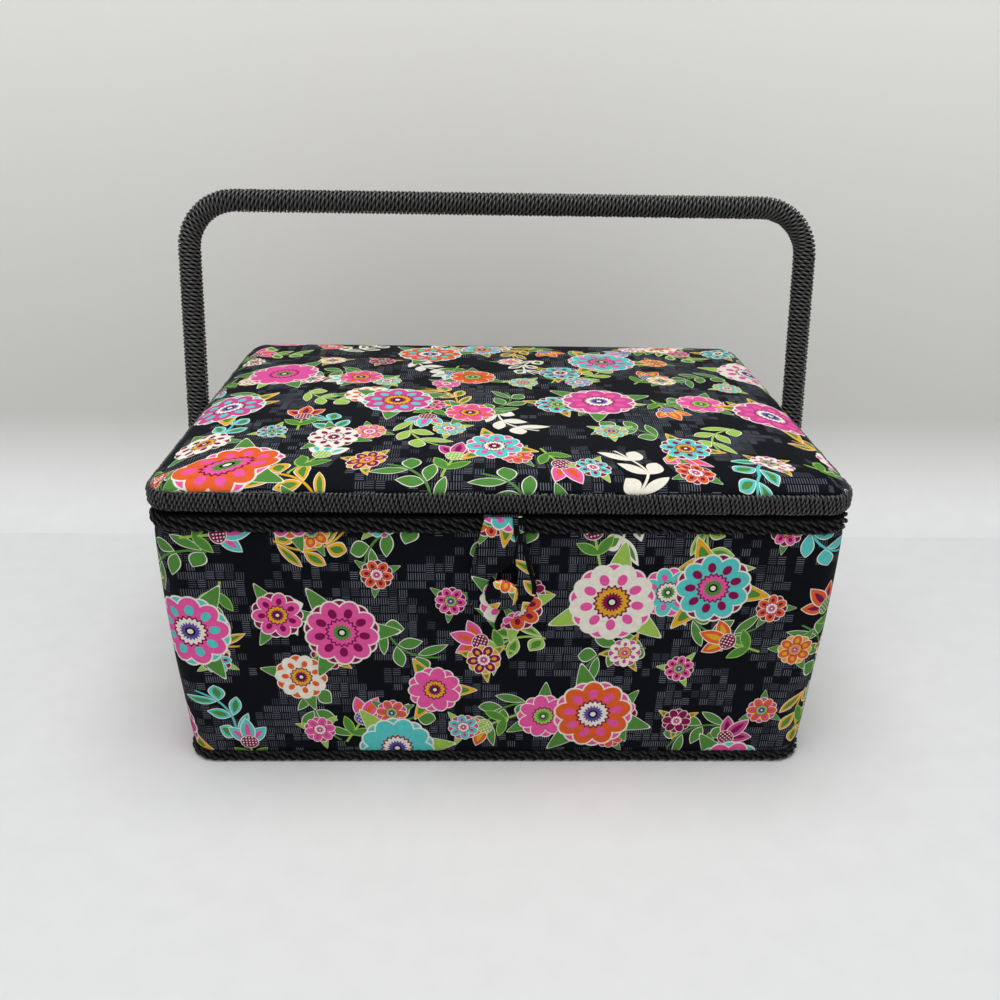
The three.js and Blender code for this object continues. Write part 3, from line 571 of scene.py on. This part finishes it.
pink_satin = satin("pink satin")
rows = [(0.0061, 0.1366), (0.0064, 0.1373), (0.0069, 0.1372)]
rows += [(0.0070, height) for height in np.linspace(0.1350, 0.0110, 26)]
rows += [(0.0074, 0.0080), (0.0088, 0.0062), (0.0110, 0.0056), (0.0160, 0.0055)]
lining = cloth_band("lining_walls", rows, pink_satin, "satin_lining",
                    lambda points: -np.abs(swell(points, 5, (0.05, 0.0004), (0.014, 0.00015))))
lining.data.flip_normals()
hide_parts("body_lining")

rows = [(0.0095, 0.0056)] + [(inset, 0.0059 + 0.0006 * min(1, (inset - 0.0095) / 0.01)) for inset in
                             (0.0100, 0.0110, 0.013, 0.018, 0.03, 0.05, 0.075, 0.1, 0.2)]
points, quads = stacked(wall_ring, stops, rows), net(rows, stops)
points[:, 2] += np.abs(swell(points, 8, (0.06, 0.0003), (0.02, 0.0001)))
flat = points[quads][..., :2]
lining_floor = made("lining_floor", points, quads, pink_satin, "box", "satin_lining", Cloth=flat)
joined(lining_floor)
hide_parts("body_lining")


# Ropes sewn round the box: a flat rope of five twisted paper cords under the rim, and a smaller one of four
# round the foot. Each cord is two charcoal plies laid together, coloured darker than the other cords as painted
# shade; black tape lies under them and shows as painted shade in the gaps between the cords.
def black_paper(name, lit_and_worn=(86, 86, 82), groove_shade=(4, 4, 4), crest=0.56, waxed=0.75):
    """Twisted paper ply: fine creases along it, paler where it stands proud of its grooves, partly real rubbing
    and partly painted highlight, with painted shade darkening the grooves
    """
    material, shader = surface(name, Specular_IOR_Level=waxed)
    stretched = moved(laid(shader, "Ply"), (260.0, 5200.0, 0.0), "MULTIPLY")
    fibres = noise(stretched, 1.0, 3.0, Roughness=0.65)
    highlight_by_lift = split(laid(shader, "Lift"))[0] + Amount(ranged(fibres, -0.2, 0.2))
    # paler towards the crest: painted highlight where the ply stands proud and painted shade in its grooves,
    # partly real rubbing
    share = ranged(highlight_by_lift.socket, start=crest, end=1.02, interpolation_type="SMOOTHSTEP")
    fed(shader, Base_Color=mixed(share, dye(*groove_shade), dye(*lit_and_worn)),
        Roughness=ranged(share, 0.85, 0.28), Normal=relief(fibres, 0.5, 0.0001))
    return material


tape, shader = surface("black paper tape", Roughness=0.9, Specular_IOR_Level=0.1)
fed(shader, Base_Color=speckles(shader, dye(16, 16, 16), dye(5, 5, 5), Grain=900.0)["Colour"])


def taped(name, rows, stops, body, at=wall_ring):
    """A strip of thin black paper tape glued round, under the cords, where it shows dark between them as
    painted shade in the gaps
    """
    return made(name, stacked(at, stops, rows), net(rows, stops), tape, body, "black_cord")


def turns_of(count):
    """Angles that share out a whole turn"""
    return np.arange(count) * 2 * math.pi / count


nested = 0.92


def two_ply(path, out, ply, lay, facets, start=0.0):
    """Points and quads of a cord of two plies laid round each other along a path, with the way along
    and round each ply; out is the direction away from what the cord lies on"""
    step = np.gradient(path, axis=0)
    forward = step / np.linalg.norm(step, axis=1, keepdims=True)
    out = out - forward * np.sum(out * forward, 1, keepdims=True)
    out /= np.linalg.norm(out, axis=1, keepdims=True)
    aside = np.cross(forward, out)
    way = lengths(path)
    rim = turns_of(facets)
    skin = np.cos(rim)[None, :, None] * out[:, None] + np.sin(rim)[None, :, None] * aside[:, None]
    rings, lifts = [], []
    for number in (0, 1):
        turn = 2 * math.pi * way / lay + start + math.pi * number
        middle = path + ply * nested * (np.cos(turn)[:, None] * out + np.sin(turn)[:, None] * aside)
        rings.append((middle[:, None] + ply * skin).reshape(-1, 3))
        # how far each point stands out of the cord, 0 to 1; the cord's colour follows it, painted highlight on
        # top and painted shade in the grooves
        lifts.append((nested * np.cos(turn)[:, None] + np.cos(rim)[None]).reshape(-1) / 2 / (nested + 1) + 0.5)
    quads, cells = web(len(path), facets)
    quads = np.concatenate([quads, quads + len(path) * facets])
    places = np.stack([way[cells[..., 0]], cells[..., 1] * (2 * math.pi * ply / facets)], -1)
    lift = np.concatenate(lifts)[quads]
    places = np.concatenate([places, places + [0.37, 0.011]])
    return np.concatenate(rings), quads, places, np.stack([lift, lift], -1)


def gathered(parts):
    """Points, quads and maps of several parts as one"""
    starts = np.cumsum([0] + [len(part[0]) for part in parts])
    quads = np.concatenate([part[1] + start for part, start in zip(parts, starts)])
    points, *maps = (np.concatenate([part[i] for part in parts]) for i in (0, *range(2, len(parts[0]))))
    return points, quads, *maps


def bundle(name, cords, material, body):
    """One piece out of many cords, with a plain unrolled layout beside the plies' own"""
    points, quads, places, lift = gathered(cords)
    across = math.ceil(math.sqrt(len(quads) * 1.6))
    down = math.ceil(len(quads) / across)
    index = np.arange(len(quads))
    square = np.array([(0.04, 0.04), (0.04, 0.96), (0.96, 0.96), (0.96, 0.04)])
    unrolled = np.stack([index % across, index // across], -1)[:, None] + square
    return made(name, points, quads, material, body, "black_cord", OFBake=unrolled / [across, down],
                Ply=places, Lift=lift)


fine_stops, fine_ways = walk(0.0015, 16)
round_way = ways[-1] - ways[0]


def along_edge(way, inset, height):
    """A place on the way round the lid's edge, drawn in and raised, and the direction out there"""
    way = (way - fine_ways[0]) % (fine_ways[-1] - fine_ways[0]) + fine_ways[0]
    closed = np.concatenate([fine_stops, fine_stops[:1] + [[0, 0, 2 * math.pi]]])
    here = np.column_stack([np.interp(way, fine_ways, closed[:, i]) for i in range(3)])
    halves = np.array([lid_long, lid_short]) - corner - inset[:, None]
    facing = outward(here)
    return np.column_stack([here[:, :2] * halves + corner * facing, height]), np.column_stack([facing, 0 * way])


def rope(name, cord_count, middle_height, spread, depth, middle_inset, ply, period, lay):
    """Cords laid round each other into a flat rope, sewn round the whole box"""
    turns = round(round_way / period)
    way = np.linspace(0, round_way, int(round_way / (lay / 7.5)) + 1)
    cords = []
    for number in range(cord_count):
        turn = 2 * math.pi * (way / round_way * turns + number / cord_count)
        height = middle_height - spread * np.sin(turn)
        inset = middle_inset - depth * np.cos(turn) + wall_inset(height)
        path, out = along_edge(way - round_way / 2, inset, height)
        cords.append(two_ply(path, out, ply, lay, 6, number * 1.7))
    return bundle(name, cords, shaded_rope_paper, "box")


# a darker copy of the cord paper with less shine: painted shade, as the ropes lie in shade under the lid's edge
# and at the foot
shaded_rope_paper = black_paper("charcoal rope paper", lit_and_worn=(42, 42, 40), groove_shade=(0, 0, 0), crest=0.66, waxed=0.3)
rim_rope = rope("rim_rope", 5, 0.1331, 0.0029, 0.0011, 0.0008, 0.00060, 0.038, 0.0080)
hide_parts("rim_trim")
base_rope = rope("base_rope", 4, 0.0033, 0.0021, 0.0008, 0.0003, 0.00060, 0.028, 0.0076)
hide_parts("base_trim")
# black tape under the ropes: it shows dark between the cords, as painted shade in the gaps
taped("rim_tape", [(0.0012, 0.1292), (0.0005, 0.1299), (0.0005, 0.1360), (0.0008, 0.1370), (0.0016, 0.13755),
                   (0.0040, 0.13758), (0.0048, 0.1375)], stops, "box")
taped("foot_tape", [(0.0016, 0.0005), (0.0008, 0.0008), (0.0005, 0.0013), (0.0005, 0.0050), (0.0009, 0.0057)],
      stops, "box")


# Lid: card and a foam-edged frame under wadding, with printed cotton pulled over them into a rolled
# edge and a low crown, stapled underneath and finished with a stretched satin panel.
dressed("lid_board", fibreboard)
dressed("lid_frame", fibreboard)
lid_foot, band_thick, roll_wide, roll_high, crown = 0.1486, 0.0021, 0.022, 0.0065, 0.0052
roll_from, crown_reach = band_thick + 0.0003, 0.105
roll_to = roll_from + roll_wide
lid_stops, lid_ways = walk(0.0035, 10)
columns = len(lid_stops)


def crowned(points):
    """How high the crown stands over the rolled edge at places of the plan"""
    away = np.array([lid_long, lid_short]) - np.abs(points[:, :2])
    share = np.clip((away - roll_from) / (crown_reach - roll_from), 0, 1)
    grown = 1 - (1 - share) ** 2
    return crown * grown[:, 0] * grown[:, 1]


def dome(under, skirt_foot):
    """Rings of the lid's cloth, or of what lies a thickness under it, from the skirt to the crown,
    how far outside the roll's end each lies along the cloth, and how many there are"""
    rows = [(roll_from + under, skirt_foot), (roll_from + under, lid_foot - 0.002)]
    for a in np.radians([0, 6, 12, 19, 26, 33, 40, 47, 54, 61, 68, 75, 82, 90]):
        rows.append((roll_to - (roll_wide - under) * math.cos(a), lid_foot + (roll_high - under) * math.sin(a)))
    way_up = lengths(rows)
    inner = [*np.linspace(roll_to + 0.003, 0.1155, 24), 0.2]
    rows += [(inset, lid_foot + roll_high - under) for inset in inner]
    points = stacked(ring, lid_stops, rows)
    points[2 * columns:, 2] += crowned(points[2 * columns:])
    return points, np.concatenate([way_up[-1] - way_up, np.zeros(len(inner))]), len(rows)


points, plan, rows = dome(0.0, 0.1432)
facing = np.tile(outward(lid_stops), (rows, 1))
beyond = np.repeat(plan, columns)
on_roll = beyond > 0
at_corner = np.tile(np.exp(-((np.abs(lid_stops[:, 0]) + np.abs(lid_stops[:, 1]) - 2) / 0.12) ** 2), rows)
way_round = np.tile(lid_ways[:-1], rows)
pucker = np.sin(way_round / 0.0042) * 0.00022 * at_corner + np.sin(way_round / 0.011 + 1) * 0.0001
loose = swell(points, 21, (0.12, 0.0006), (0.04, 0.0002))
free = np.clip((points[:, 2] - lid_foot + 0.001) / 0.006, 0, 1)
stirred = free * (pucker * beyond / plan.max() + loose * 0.6)
roll_end = np.tile(ring(lid_stops, roll_to, 0)[:, :2], (rows, 1))
laid_out = np.where(on_roll[:, None], roll_end + facing * beyond[:, None], points[:, :2])
points[:, :2] += facing * (stirred * on_roll)[:, None]
points[:, 2] += stirred * np.where(on_roll, 0.3, 1.0)
quads = web(rows, columns)[0]
lid_cloth = made("lid_cloth", points, quads, cotton("printed cotton of the lid", (0.43, 0.58, 0)), "lid",
                 "printed_cotton", Cloth=laid_out[quads])
thick(lid_cloth, 0.0005)
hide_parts("lid_cover")

points, _, rows = dome(0.0012, 0.1430)
points[:, 2] -= 0.0006
underneath = [(0.1175, 0.1430), (0.0150, 0.1430), (0.0145, 0.1488), (0.0050, 0.1490)]
points = np.concatenate([stacked(ring, lid_stops, underneath), points[2 * columns:]])
wool, shader = surface("polyester wadding", Sheen_Weight=0.4, Roughness=0.95)
tufts = speckles(shader, dye(238, 234, 222), dye(206, 200, 186), Grain=380.0)
fed(shader, Base_Color=tufts["Colour"], Normal=relief(tufts["Height"], 0.8, 0.0006))
wadding = made("wadding", points, web(rows + 2, columns)[0], wool, "lid", "foam")
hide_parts("lid_pad")

panel_level = 0.1377
rows = [(0.0068, 0.1384), (0.0064, 0.1382), (0.0065, 0.1379)]
rows += [(inset, panel_level) for inset in (0.0074, 0.009, 0.015, 0.03, 0.06, 0.09, 0.11, 0.2)]
points, quads = stacked(ring, lid_stops, rows), net(rows, lid_stops, True)
slack = np.abs(swell(points, 31, (0.05, 0.0003), (0.02, 0.0001)))
points[:, 2] += np.where(points[:, 2] < panel_level + 0.00005, slack, 0)
lid_satin = made("lid_satin", points, quads, pink_satin, "lid", "satin_lining", Cloth=points[quads][..., :2])
thick(lid_satin, 0.0004)
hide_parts("lid_lining")


# Pincushion: two ovals of the satin sewn face to face and filled, caught to the middle of the lid's
# panel by its edge, so that it swells downwards with its sides drawn in at the seam.
def boxy(values, power):
    """Waves from -1 to 1 with flatter tops, which turn a circle into a rounded oblong"""
    return np.sign(values) * np.abs(values) ** power


cushion_top, cushion_half, cushion_seam = 0.1374, (0.056, 0.033), 0.003
rows = [(0.0, 0.0), (0.55, 0.0001), (0.80, 0.0002), (0.93, 0.0007), (0.985, 0.0018), (1.0, 0.0032),
        (0.992, 0.0046), (0.965, 0.0060), (0.92, 0.0072), (0.85, 0.0082), (0.75, 0.0090),
        (0.62, 0.0095), (0.45, 0.0098), (0.25, 0.00995), (0.02, 0.01)]
turn = turns_of(96)
around = boxy(np.column_stack([np.cos(turn), np.sin(turn)]), 0.62) * cushion_half
points = np.concatenate([np.column_stack([around * share, np.full(96, cushion_top - down)])
                         for share, down in rows])
turn = np.tile(turn, len(rows))
drop = cushion_top - points[:, 2]
gather = np.sin(turn * 26 + np.sin(turn * 5)) * 0.0003 * np.exp(-((drop - cushion_seam) / 0.0022) ** 2)
points[:, :2] *= (0.988 + gather / cushion_half[1])[:, None]
points[:, 2] += np.clip(swell(points, 41, (0.05, 0.0003)) + 0.0004, 0, 1) * (drop > 0.004)
quads = net(rows, around)
pincushion = made("pincushion_pad", points, quads, satin("pincushion satin"), "lid", "satin_lining",
                  Cloth=(points[:, :2] + points[:, 2:] * [1.3, 0.7])[quads])
pincushion.modifiers.new("rounded", "SUBSURF").levels = 1
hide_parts("pincushion")


# Band round the lid: the same charcoal cord lashed round the lid's flat edge in slanting turns that
# lie side by side, so each shows as one near-upright strand bent in at the top and the bottom.
lash_pitch, lash_ply, lash_lay = 0.00200, 0.00053, 0.0052
profile = np.array([(2.5, 140.55), (2.0, 140.25), (1.5, 140.3), (1.15, 140.75), (1.03, 141.5), (1.02, 142.6),
                    (1.02, 143.8), (1.02, 145.0), (1.02, 146.2), (1.03, 147.1), (1.15, 147.75),
                    (1.55, 148.15), (2.1, 148.2), (2.6, 147.8)]) / 1000
profile_way = lengths(profile)
even_way = np.linspace(0, profile_way[-1], 21)
inset, height = (np.interp(even_way, profile_way, profile[:, i]) for i in (0, 1))
slant = 0.0011 - 0.0022 * np.clip((height - 0.1401) / 0.008, 0, 1)
tilt = np.clip((0.1448 - height) / 0.0042, -1, 1)
lash_count = round(round_way / lash_pitch)
rng = np.random.default_rng(12)
lashing = []
for number in range(lash_count):
    stray = rng.normal(0, 0.00008, 2)
    way = (number + 0.5) / lash_count * round_way - round_way / 2 + slant + stray[0]
    path, out = along_edge(way, inset + stray[1], height)
    normal = out * (1 - np.abs(tilt) * 0.6)[:, None] + np.array([0, 0, -1]) * tilt[:, None]
    lashing.append(two_ply(path, normal, lash_ply, lash_lay, 5, start=number * 0.31 + rng.normal(0, 0.25)))
band_paper = black_paper("charcoal band paper", lit_and_worn=(76, 76, 72), groove_shade=(2, 2, 2), crest=0.59)
lid_band = bundle("lid_band", lashing, band_paper, "lid")
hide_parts("lid_trim")

# black tape under the lashes shows dark between them, as painted shade in the gaps
taped("band_tape", [(0.0024, 0.1390), (0.0020, 0.1394), (0.0018, 0.1404), (0.0016, 0.1412), (0.0016, 0.1473),
                    (0.0019, 0.1480), (0.0026, 0.1482)], lid_stops, "lid", ring)
# a black tape under the lid's edge, over the satin's edge in the gap above the rim: a dark strip that stands in
# as painted shade
rows = [(0.0030, 0.1389), (0.0027, 0.1387), (0.0029, 0.1384), (0.0040, 0.1383), (0.0070, 0.1383),
        (0.0095, 0.1385)]
points = stacked(ring, lid_stops, rows)
points[:, 2] += np.sin(np.tile(lid_ways[:-1], len(rows)) / 0.006) * 0.00006
hem_shade_tape = made("hem_shade_tape", points, net(rows, lid_stops, True), tape, "lid", "black_cord")
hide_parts("lid_lining")


# Closure: a strip of the printed cotton, folded and pressed, hangs from the lid's front edge. Its two
# legs part round a covered button on the box and cross in a mitred tip below it.
loop_cotton = cotton("printed cotton of the loop", (0.66, 0.22, 0))
loop_top, loop_plane, button_height = 0.1388, -0.1218, 0.1022


def folded_strip(drops, left_edge, right_edge, ahead, thickness, shift):
    """A flattened tube of folded cloth between two edges, with how far it stands forward on its way
    down; edges are pairs of drop and place across, in millimetres"""
    drop = np.linspace(*drops, 56) / 1000
    left, right, stand = (np.interp(drop, *np.array(line).T / 1000) for line in (left_edge, right_edge, ahead))
    turn = turns_of(18)
    across, through = boxy(np.cos(turn), 0.55), boxy(np.sin(turn), 0.5)
    points = []
    for d, a, b, f in zip(drop, left, right, stand):
        x = (a + b) / 2 + (b - a) / 2 * across
        slack = 0.00025 * np.sin(d * 260 + x * 190) + 0.00018 * np.sin(d * 90 - x * 420)
        y = loop_plane - f - (thickness / 2 * through + slack)
        points.append(np.column_stack([x, y, np.full(18, loop_top - d)]))
    points, quads = np.concatenate(points), net(drop, turn, True)
    return points, quads, (points[:, [0, 2]] + points[:, 1:2] * [0.8, 0.3] + shift)[quads]


left_outside = [(0, -7.8), (5.7, -9.3), (10.3, -10.5), (15.5, -12.0), (22.4, -13.4), (27, -14.2), (33, -15.4),
                (37, -15.6), (41, -15.1), (44, -13.8), (47, -11.2), (50.5, -7.8), (54.5, -4.7), (56.8, -2.6)]
left_inside = [(0, 4.4), (8, 5.3), (14, 6.4), (19, 5.6), (23, 4.0), (25.5, 1.0), (27, -1.8), (29, -4.4),
               (32, -5.8), (36, -6.4), (40, -5.9), (43, -4.2), (46, -1.0), (50, 0.4), (56.8, 0.6)]
right_inside = [(0, 4.6), (8, 5.6), (14, 6.7), (19, 6.1), (23, 6.4), (27, 7.0), (32, 7.2), (36, 7.0), (40, 6.2),
                (43, 4.2), (46, 0.4), (50, -2.0), (54, -3.0), (56.8, -2.2)]
right_outside = [(0, 9.1), (6, 9.9), (10.3, 10.6), (15.5, 11.7), (24, 13.6), (30, 15.4), (35, 16.3),
                 (38.5, 15.9), (42, 14.0), (45, 11.4), (48, 8.0), (51, 4.8), (54.5, 1.6), (56.8, 0.4)]
turned_edge = [(drop, place - 2.3) for drop, place in right_outside]
strips = [folded_strip((0, 56.8), left_outside, left_inside, [(0, 0), (60, 0)], 0.0017, (0.030, 0.0)),
          folded_strip((0, 56.8), right_inside, right_outside, [(0, 0.15), (40, 0.1), (47, 1.1), (60, 1.1)],
                       0.0016, (0.21, 0.13)),
          folded_strip((3, 38), turned_edge, right_outside, [(0, 0.8), (30, 0.9), (38, 0.5)], 0.0008,
                       (0.49, 0.27))]
points, quads, places = gathered(strips)
loop = made("closure_strip", points, quads, loop_cotton, "closure_loop", "printed_cotton", Cloth=places)
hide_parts("closure_loop")

rows = [(-0.1170, 0.13825), (-0.1176, 0.13845), (-0.1186, 0.13845), (-0.1196, 0.1384), (-0.1202, 0.1382),
        (-0.1205, 0.1379)]
turn = turns_of(16)
across = boxy(np.cos(turn), 0.4) * 0.0088
points = np.concatenate([np.column_stack([across, y + 0 * turn, z + 0.00045 * np.sin(turn)]) for y, z in rows])
quads = net(rows, turn)
tab = made("closure_root", points, quads, loop_cotton, "lid", "printed_cotton",
           Cloth=points[quads][..., [0, 1]] + [0.0, 0.02])
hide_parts("closure_tab")

button_back, button_radius = -0.1236, 0.0075
rows = [(0.58, 0.0002), (0.62, 0.0001), (0.80, 0.0004), (0.93, 0.0010), (0.99, 0.0017), (1.0, 0.0023),
        (0.985, 0.0029), (0.93, 0.0035), (0.84, 0.0039), (0.70, 0.00425), (0.5, 0.0045), (0.25, 0.0046),
        (0.02, 0.0046)]
turn = turns_of(64)
points = []
for share, out in rows:
    fold = 1 + 0.02 * math.sin(share * 1.5) * np.sin(turn * 17 + np.sin(turn * 3)) * (out < 0.003)
    radius = button_radius * share * fold
    points.append(np.column_stack([radius * np.cos(turn), button_back - out + 0 * turn,
                                   button_height + radius * np.sin(turn)]))
points, quads = np.concatenate(points), net(rows, turn, True)
button = made("button_cloth", points, quads, cotton("printed cotton of the button", (0.115, 0.305, 0)), "box",
              "printed_cotton", Cloth=(points[:, [0, 2]] + points[:, 1:2] * [0.1, 0.05])[quads])
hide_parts("button_head")

cord_paper = black_paper("charcoal paper cord")
shank_radius, way = 0.0013, np.linspace(0, 1, 14)
threads = []
for number in range(7):
    turn = number * 0.9 + way * 2.4
    path = np.column_stack([shank_radius * np.cos(turn), -0.1178 - 0.0058 * way,
                            button_height + shank_radius * np.sin(turn)])
    threads.append(two_ply(path, path * [1, 0, 1] - [0, 0, button_height], 0.0003, 0.003, 5))
button_thread = bundle("button_thread", threads, cord_paper, "box")
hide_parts("button_shank")


# Hinges: two small butt hinges of blackened steel at the back, with pressed knuckles round a plated
# pin, each leaf held by two pan-head screws.
black_steel = speckled("blackened steel", dye(56, 56, 58), dye(34, 34, 36), 0.35, 0.55, 2600, 0.00003,
                       Metallic=0.85)
plated = speckled("zinc plate", dye(188, 188, 184), dye(148, 150, 150), 0.22, 0.42, 3000, 0.00002, Metallic=1.0)
for side in ("left", "right"):
    dressed(f"hinge_pin_{side}", plated, 0.00025)
for owner in ("body", "lid"):
    for side in ("left", "right"):
        dressed(f"hinge_leaf_{owner}_{side}", black_steel, 0.0002)
    for number in range(1, 5):
        dressed(f"hinge_screw_{owner}_{number}", plated, 0.00025, 3)


# Pivots: at each side a blackened bolt goes through the handle's flat end, a turned nylon spacer and
# the wall, and is held inside by a plated washer and nut.
turned_nylon = speckled("black nylon", dye(44, 44, 44), dye(28, 28, 28), 0.35, 0.5, 1800, 0.00003)
for side in ("left", "right"):
    dressed(f"pivot_bolt_{side}", black_steel, 0.0004, 3)
    dressed(f"pivot_spacer_{side}", turned_nylon, 0.0006, 3)
    dressed(f"pivot_washer_{side}", plated, 0.0002)
    dressed(f"pivot_nut_{side}", plated, 0.0003)


# Handle: a bent steel rod with flattened ends, padded with a wrap of black paper tape, then wound
# from end to end with one twisted paper cord, each turn tight against the last.
handle_lean, leg_x, bar_reach, bend_radius, winding_start = math.radians(11.1), 0.1668, 0.1644, 0.025, 0.020
leg_length = bar_reach - bend_radius - winding_start
bend_length = bend_radius * math.pi / 2
handle_length = 2 * (leg_length + bend_length + leg_x - bend_radius)


def handle_line(way):
    """Places along the handle from the left end to the right, and the direction out of its arch"""
    mirrored = way > handle_length / 2
    near = np.where(mirrored, handle_length - way, way)
    turn = np.clip((near - leg_length) / bend_radius, 0, math.pi / 2)
    beyond = np.maximum(near - leg_length - bend_length, 0)
    x = -leg_x + bend_radius * (1 - np.cos(turn)) + beyond
    z = winding_start + np.clip(near, None, leg_length) + bend_radius * np.sin(turn)
    flip = np.where(mirrored, -1, 1)
    return np.column_stack([flip * x, 0 * x, z]), np.column_stack([-flip * np.cos(turn), 0 * x, np.sin(turn)])


def leaned(directions):
    """Leans what belongs to the upright handle back to how the handle stands"""
    c, s = math.cos(handle_lean), math.sin(handle_lean)
    return directions @ np.array([[1, 0, 0], [0, c, -s], [0, s, c]])


pivots = [0, 0, pivot_height]
wind_pitch, wind_ply, wind_lay, wind_step = 0.00206, 0.00055, 0.0079, 0.00118
wind_reach, wind_end = 0.00625 - wind_ply * (nested + 1), 0.001
wound = handle_length - 2 * wind_end
wind_turns = wound / wind_pitch
share = np.linspace(0, 1, int(wind_turns * 2 * math.pi * wind_reach / wind_step))
turn = share * wind_turns * 2 * math.pi
line, out = handle_line(wind_end + share * wound)
round_out = np.cos(turn)[:, None] * out + np.sin(turn)[:, None] * np.array([0, 1, 0])
wobble = 1 + 0.012 * np.sin(share * 400) * np.sin(share * 173)
path = line + round_out * (wind_reach * wobble)[:, None]
twist = np.sin(share * 61) * 0.9 + np.sin(share * 137 + 2) * 0.6
winding_cord = two_ply(leaned(path) + pivots, leaned(round_out), wind_ply, wind_lay, 5, twist)
winding = bundle("handle_winding", [winding_cord], cord_paper, "handle")
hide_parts("handle_wrap")

tape_radius = 0.0046
way = np.unique([*np.linspace(0, leg_length, 8), *np.linspace(leg_length, leg_length + bend_length, 12)])
line, out = handle_line(np.concatenate([way, handle_length - way[::-1]]))
around = turns_of(20)[:, None]
tube = np.concatenate([centre + tape_radius * (np.cos(around) * outside + np.sin(around) * [0, 1, 0])
                       for centre, outside in zip(line, out)])
made("handle_tape", leaned(tube) + pivots, net(line, around), tape, "handle", "black_cord")
dressed("handle_core", black_steel)
for side in ("left", "right"):
    dressed(f"handle_end_{side}", black_steel, 0.0005, 3)


# Tray: moulded in one piece of pale plastic, with five pockets and a flange that rests on the ledges.
# Its walls are thin enough to let a little light through.
tray_plastic = speckled("pale moulded plastic", dye(232, 228, 220), dye(222, 217, 207), 0.3, 0.45, 700, 0.00005,
                        Subsurface_Weight=0.06, Subsurface_Radius=(0.003, 0.002, 0.001))
dressed("tray", tray_plastic, 0.0007, 3)


# Where the basket stands: a pale table that runs on behind it, and a plain pale wall that curves up
# from the table. The wall is only there for whoever looks at its front, and glows a little for them.
def pale_paint(name, **constants):
    """A dull pale paint, hardly speckled; returns it with its shader and its colour"""
    material, shader = surface(name, Roughness=0.9, Specular_IOR_Level=0.2, **constants)
    marks = speckles(shader, dye(228, 228, 226), dye(224, 224, 222), Grain=60.0, Patches=1.2)
    return material, shader, marks["Colour"]


table, shader, colour = pale_paint("pale table")
fed(shader, Base_Color=colour)
table_half, table_front, table_back = 2.4, -1.6, 1.8
corners = ((-1, table_front), (1, table_front), (1, table_back), (-1, table_back))
meshed("table", [(table_half * x, y, 0) for x, y in corners], [(0, 1, 2, 3)], table)

wall_front, sweep, wall_foot = 0.215, 0.07, 0.004
run = [(wall_front - sweep + sweep * math.sin(a), 0.0003 + sweep - sweep * math.cos(a))
       for a in np.radians(np.linspace(0, 90, 14))]
run += [(wall_front, z) for z in (0.1, 0.2, 0.4, 0.9, 1.6)]
wall_paint, shader, colour = pale_paint("pale wall", Emission_Strength=1.0)
tree = shader.id_data
height = split(put(tree, "TexCoord").outputs["Object"])[2].socket
# the glow grows from faint at the wall's foot to stronger up the wall: painted light, brighter towards the top
low, high = (ranged(height, start=wall_foot, end=top) for top in (0.07, 0.36))
fed(shader, Base_Color=mixed(low, colour, dye(206, 205, 200)),
    Emission_Color=mixed(high, (0.03, 0.03, 0.03, 1), (0.27, 0.27, 0.26, 1)))
ray = put(tree, "LightPath").outputs
looking, through, by_shine = (Amount(ray[f"Is {kind} Ray"]) for kind in ("Camera", "Transmission", "Glossy"))
behind = put(tree, "NewGeometry").outputs["Backfacing"]
shows = (looking + by_shine + through).by("SUBTRACT", behind, use_clamp=True)
clear = put(tree, "BsdfTransparent").outputs[0]
seen = put(tree, "MixShader", {0: shows.socket, 1: clear, 2: shader.outputs[0]})
tree.links.new(seen.outputs[0], tree.nodes["Material Output"].inputs["Surface"])
across = np.linspace(-table_half, table_half, 9)
points = [(x, y, z) for y, z in run for x in across]
meshed("wall", points, web(len(run), len(across), False)[0], wall_paint)

for name, place, aim, size, power in (
        ("window light", (-0.8, -1.2, 1.5), (0, 0, 0.1), 1.2, 2.4),
        ("room light", (0.9, -1.0, 1.5), (0, 0, 0.1), 1.2, 1.9),
        ("ceiling light", (0.0, -0.22, 1.7), (0, -0.1, 0), 1.4, 21.0)):
    lamp = bpy.data.lights.new(name, "AREA")
    lamp.shape, lamp.size, lamp.energy = "DISK", size, power
    stand = bpy.data.objects.new(name, lamp)
    stand.location = place
    stand.rotation_euler = (Vector(aim) - Vector(place)).to_track_quat("-Z", "Y").to_euler()
    bpy.context.scene.collection.objects.link(stand)

world = bpy.data.worlds.new("room")
world.use_nodes = True
world.node_tree.nodes["Background"].inputs["Color"].default_value = (0.9, 0.93, 1.0, 1)
world.node_tree.nodes["Background"].inputs["Strength"].default_value = 0.36
bpy.context.scene.world = world
bpy.context.scene.view_settings.view_transform = "Standard"
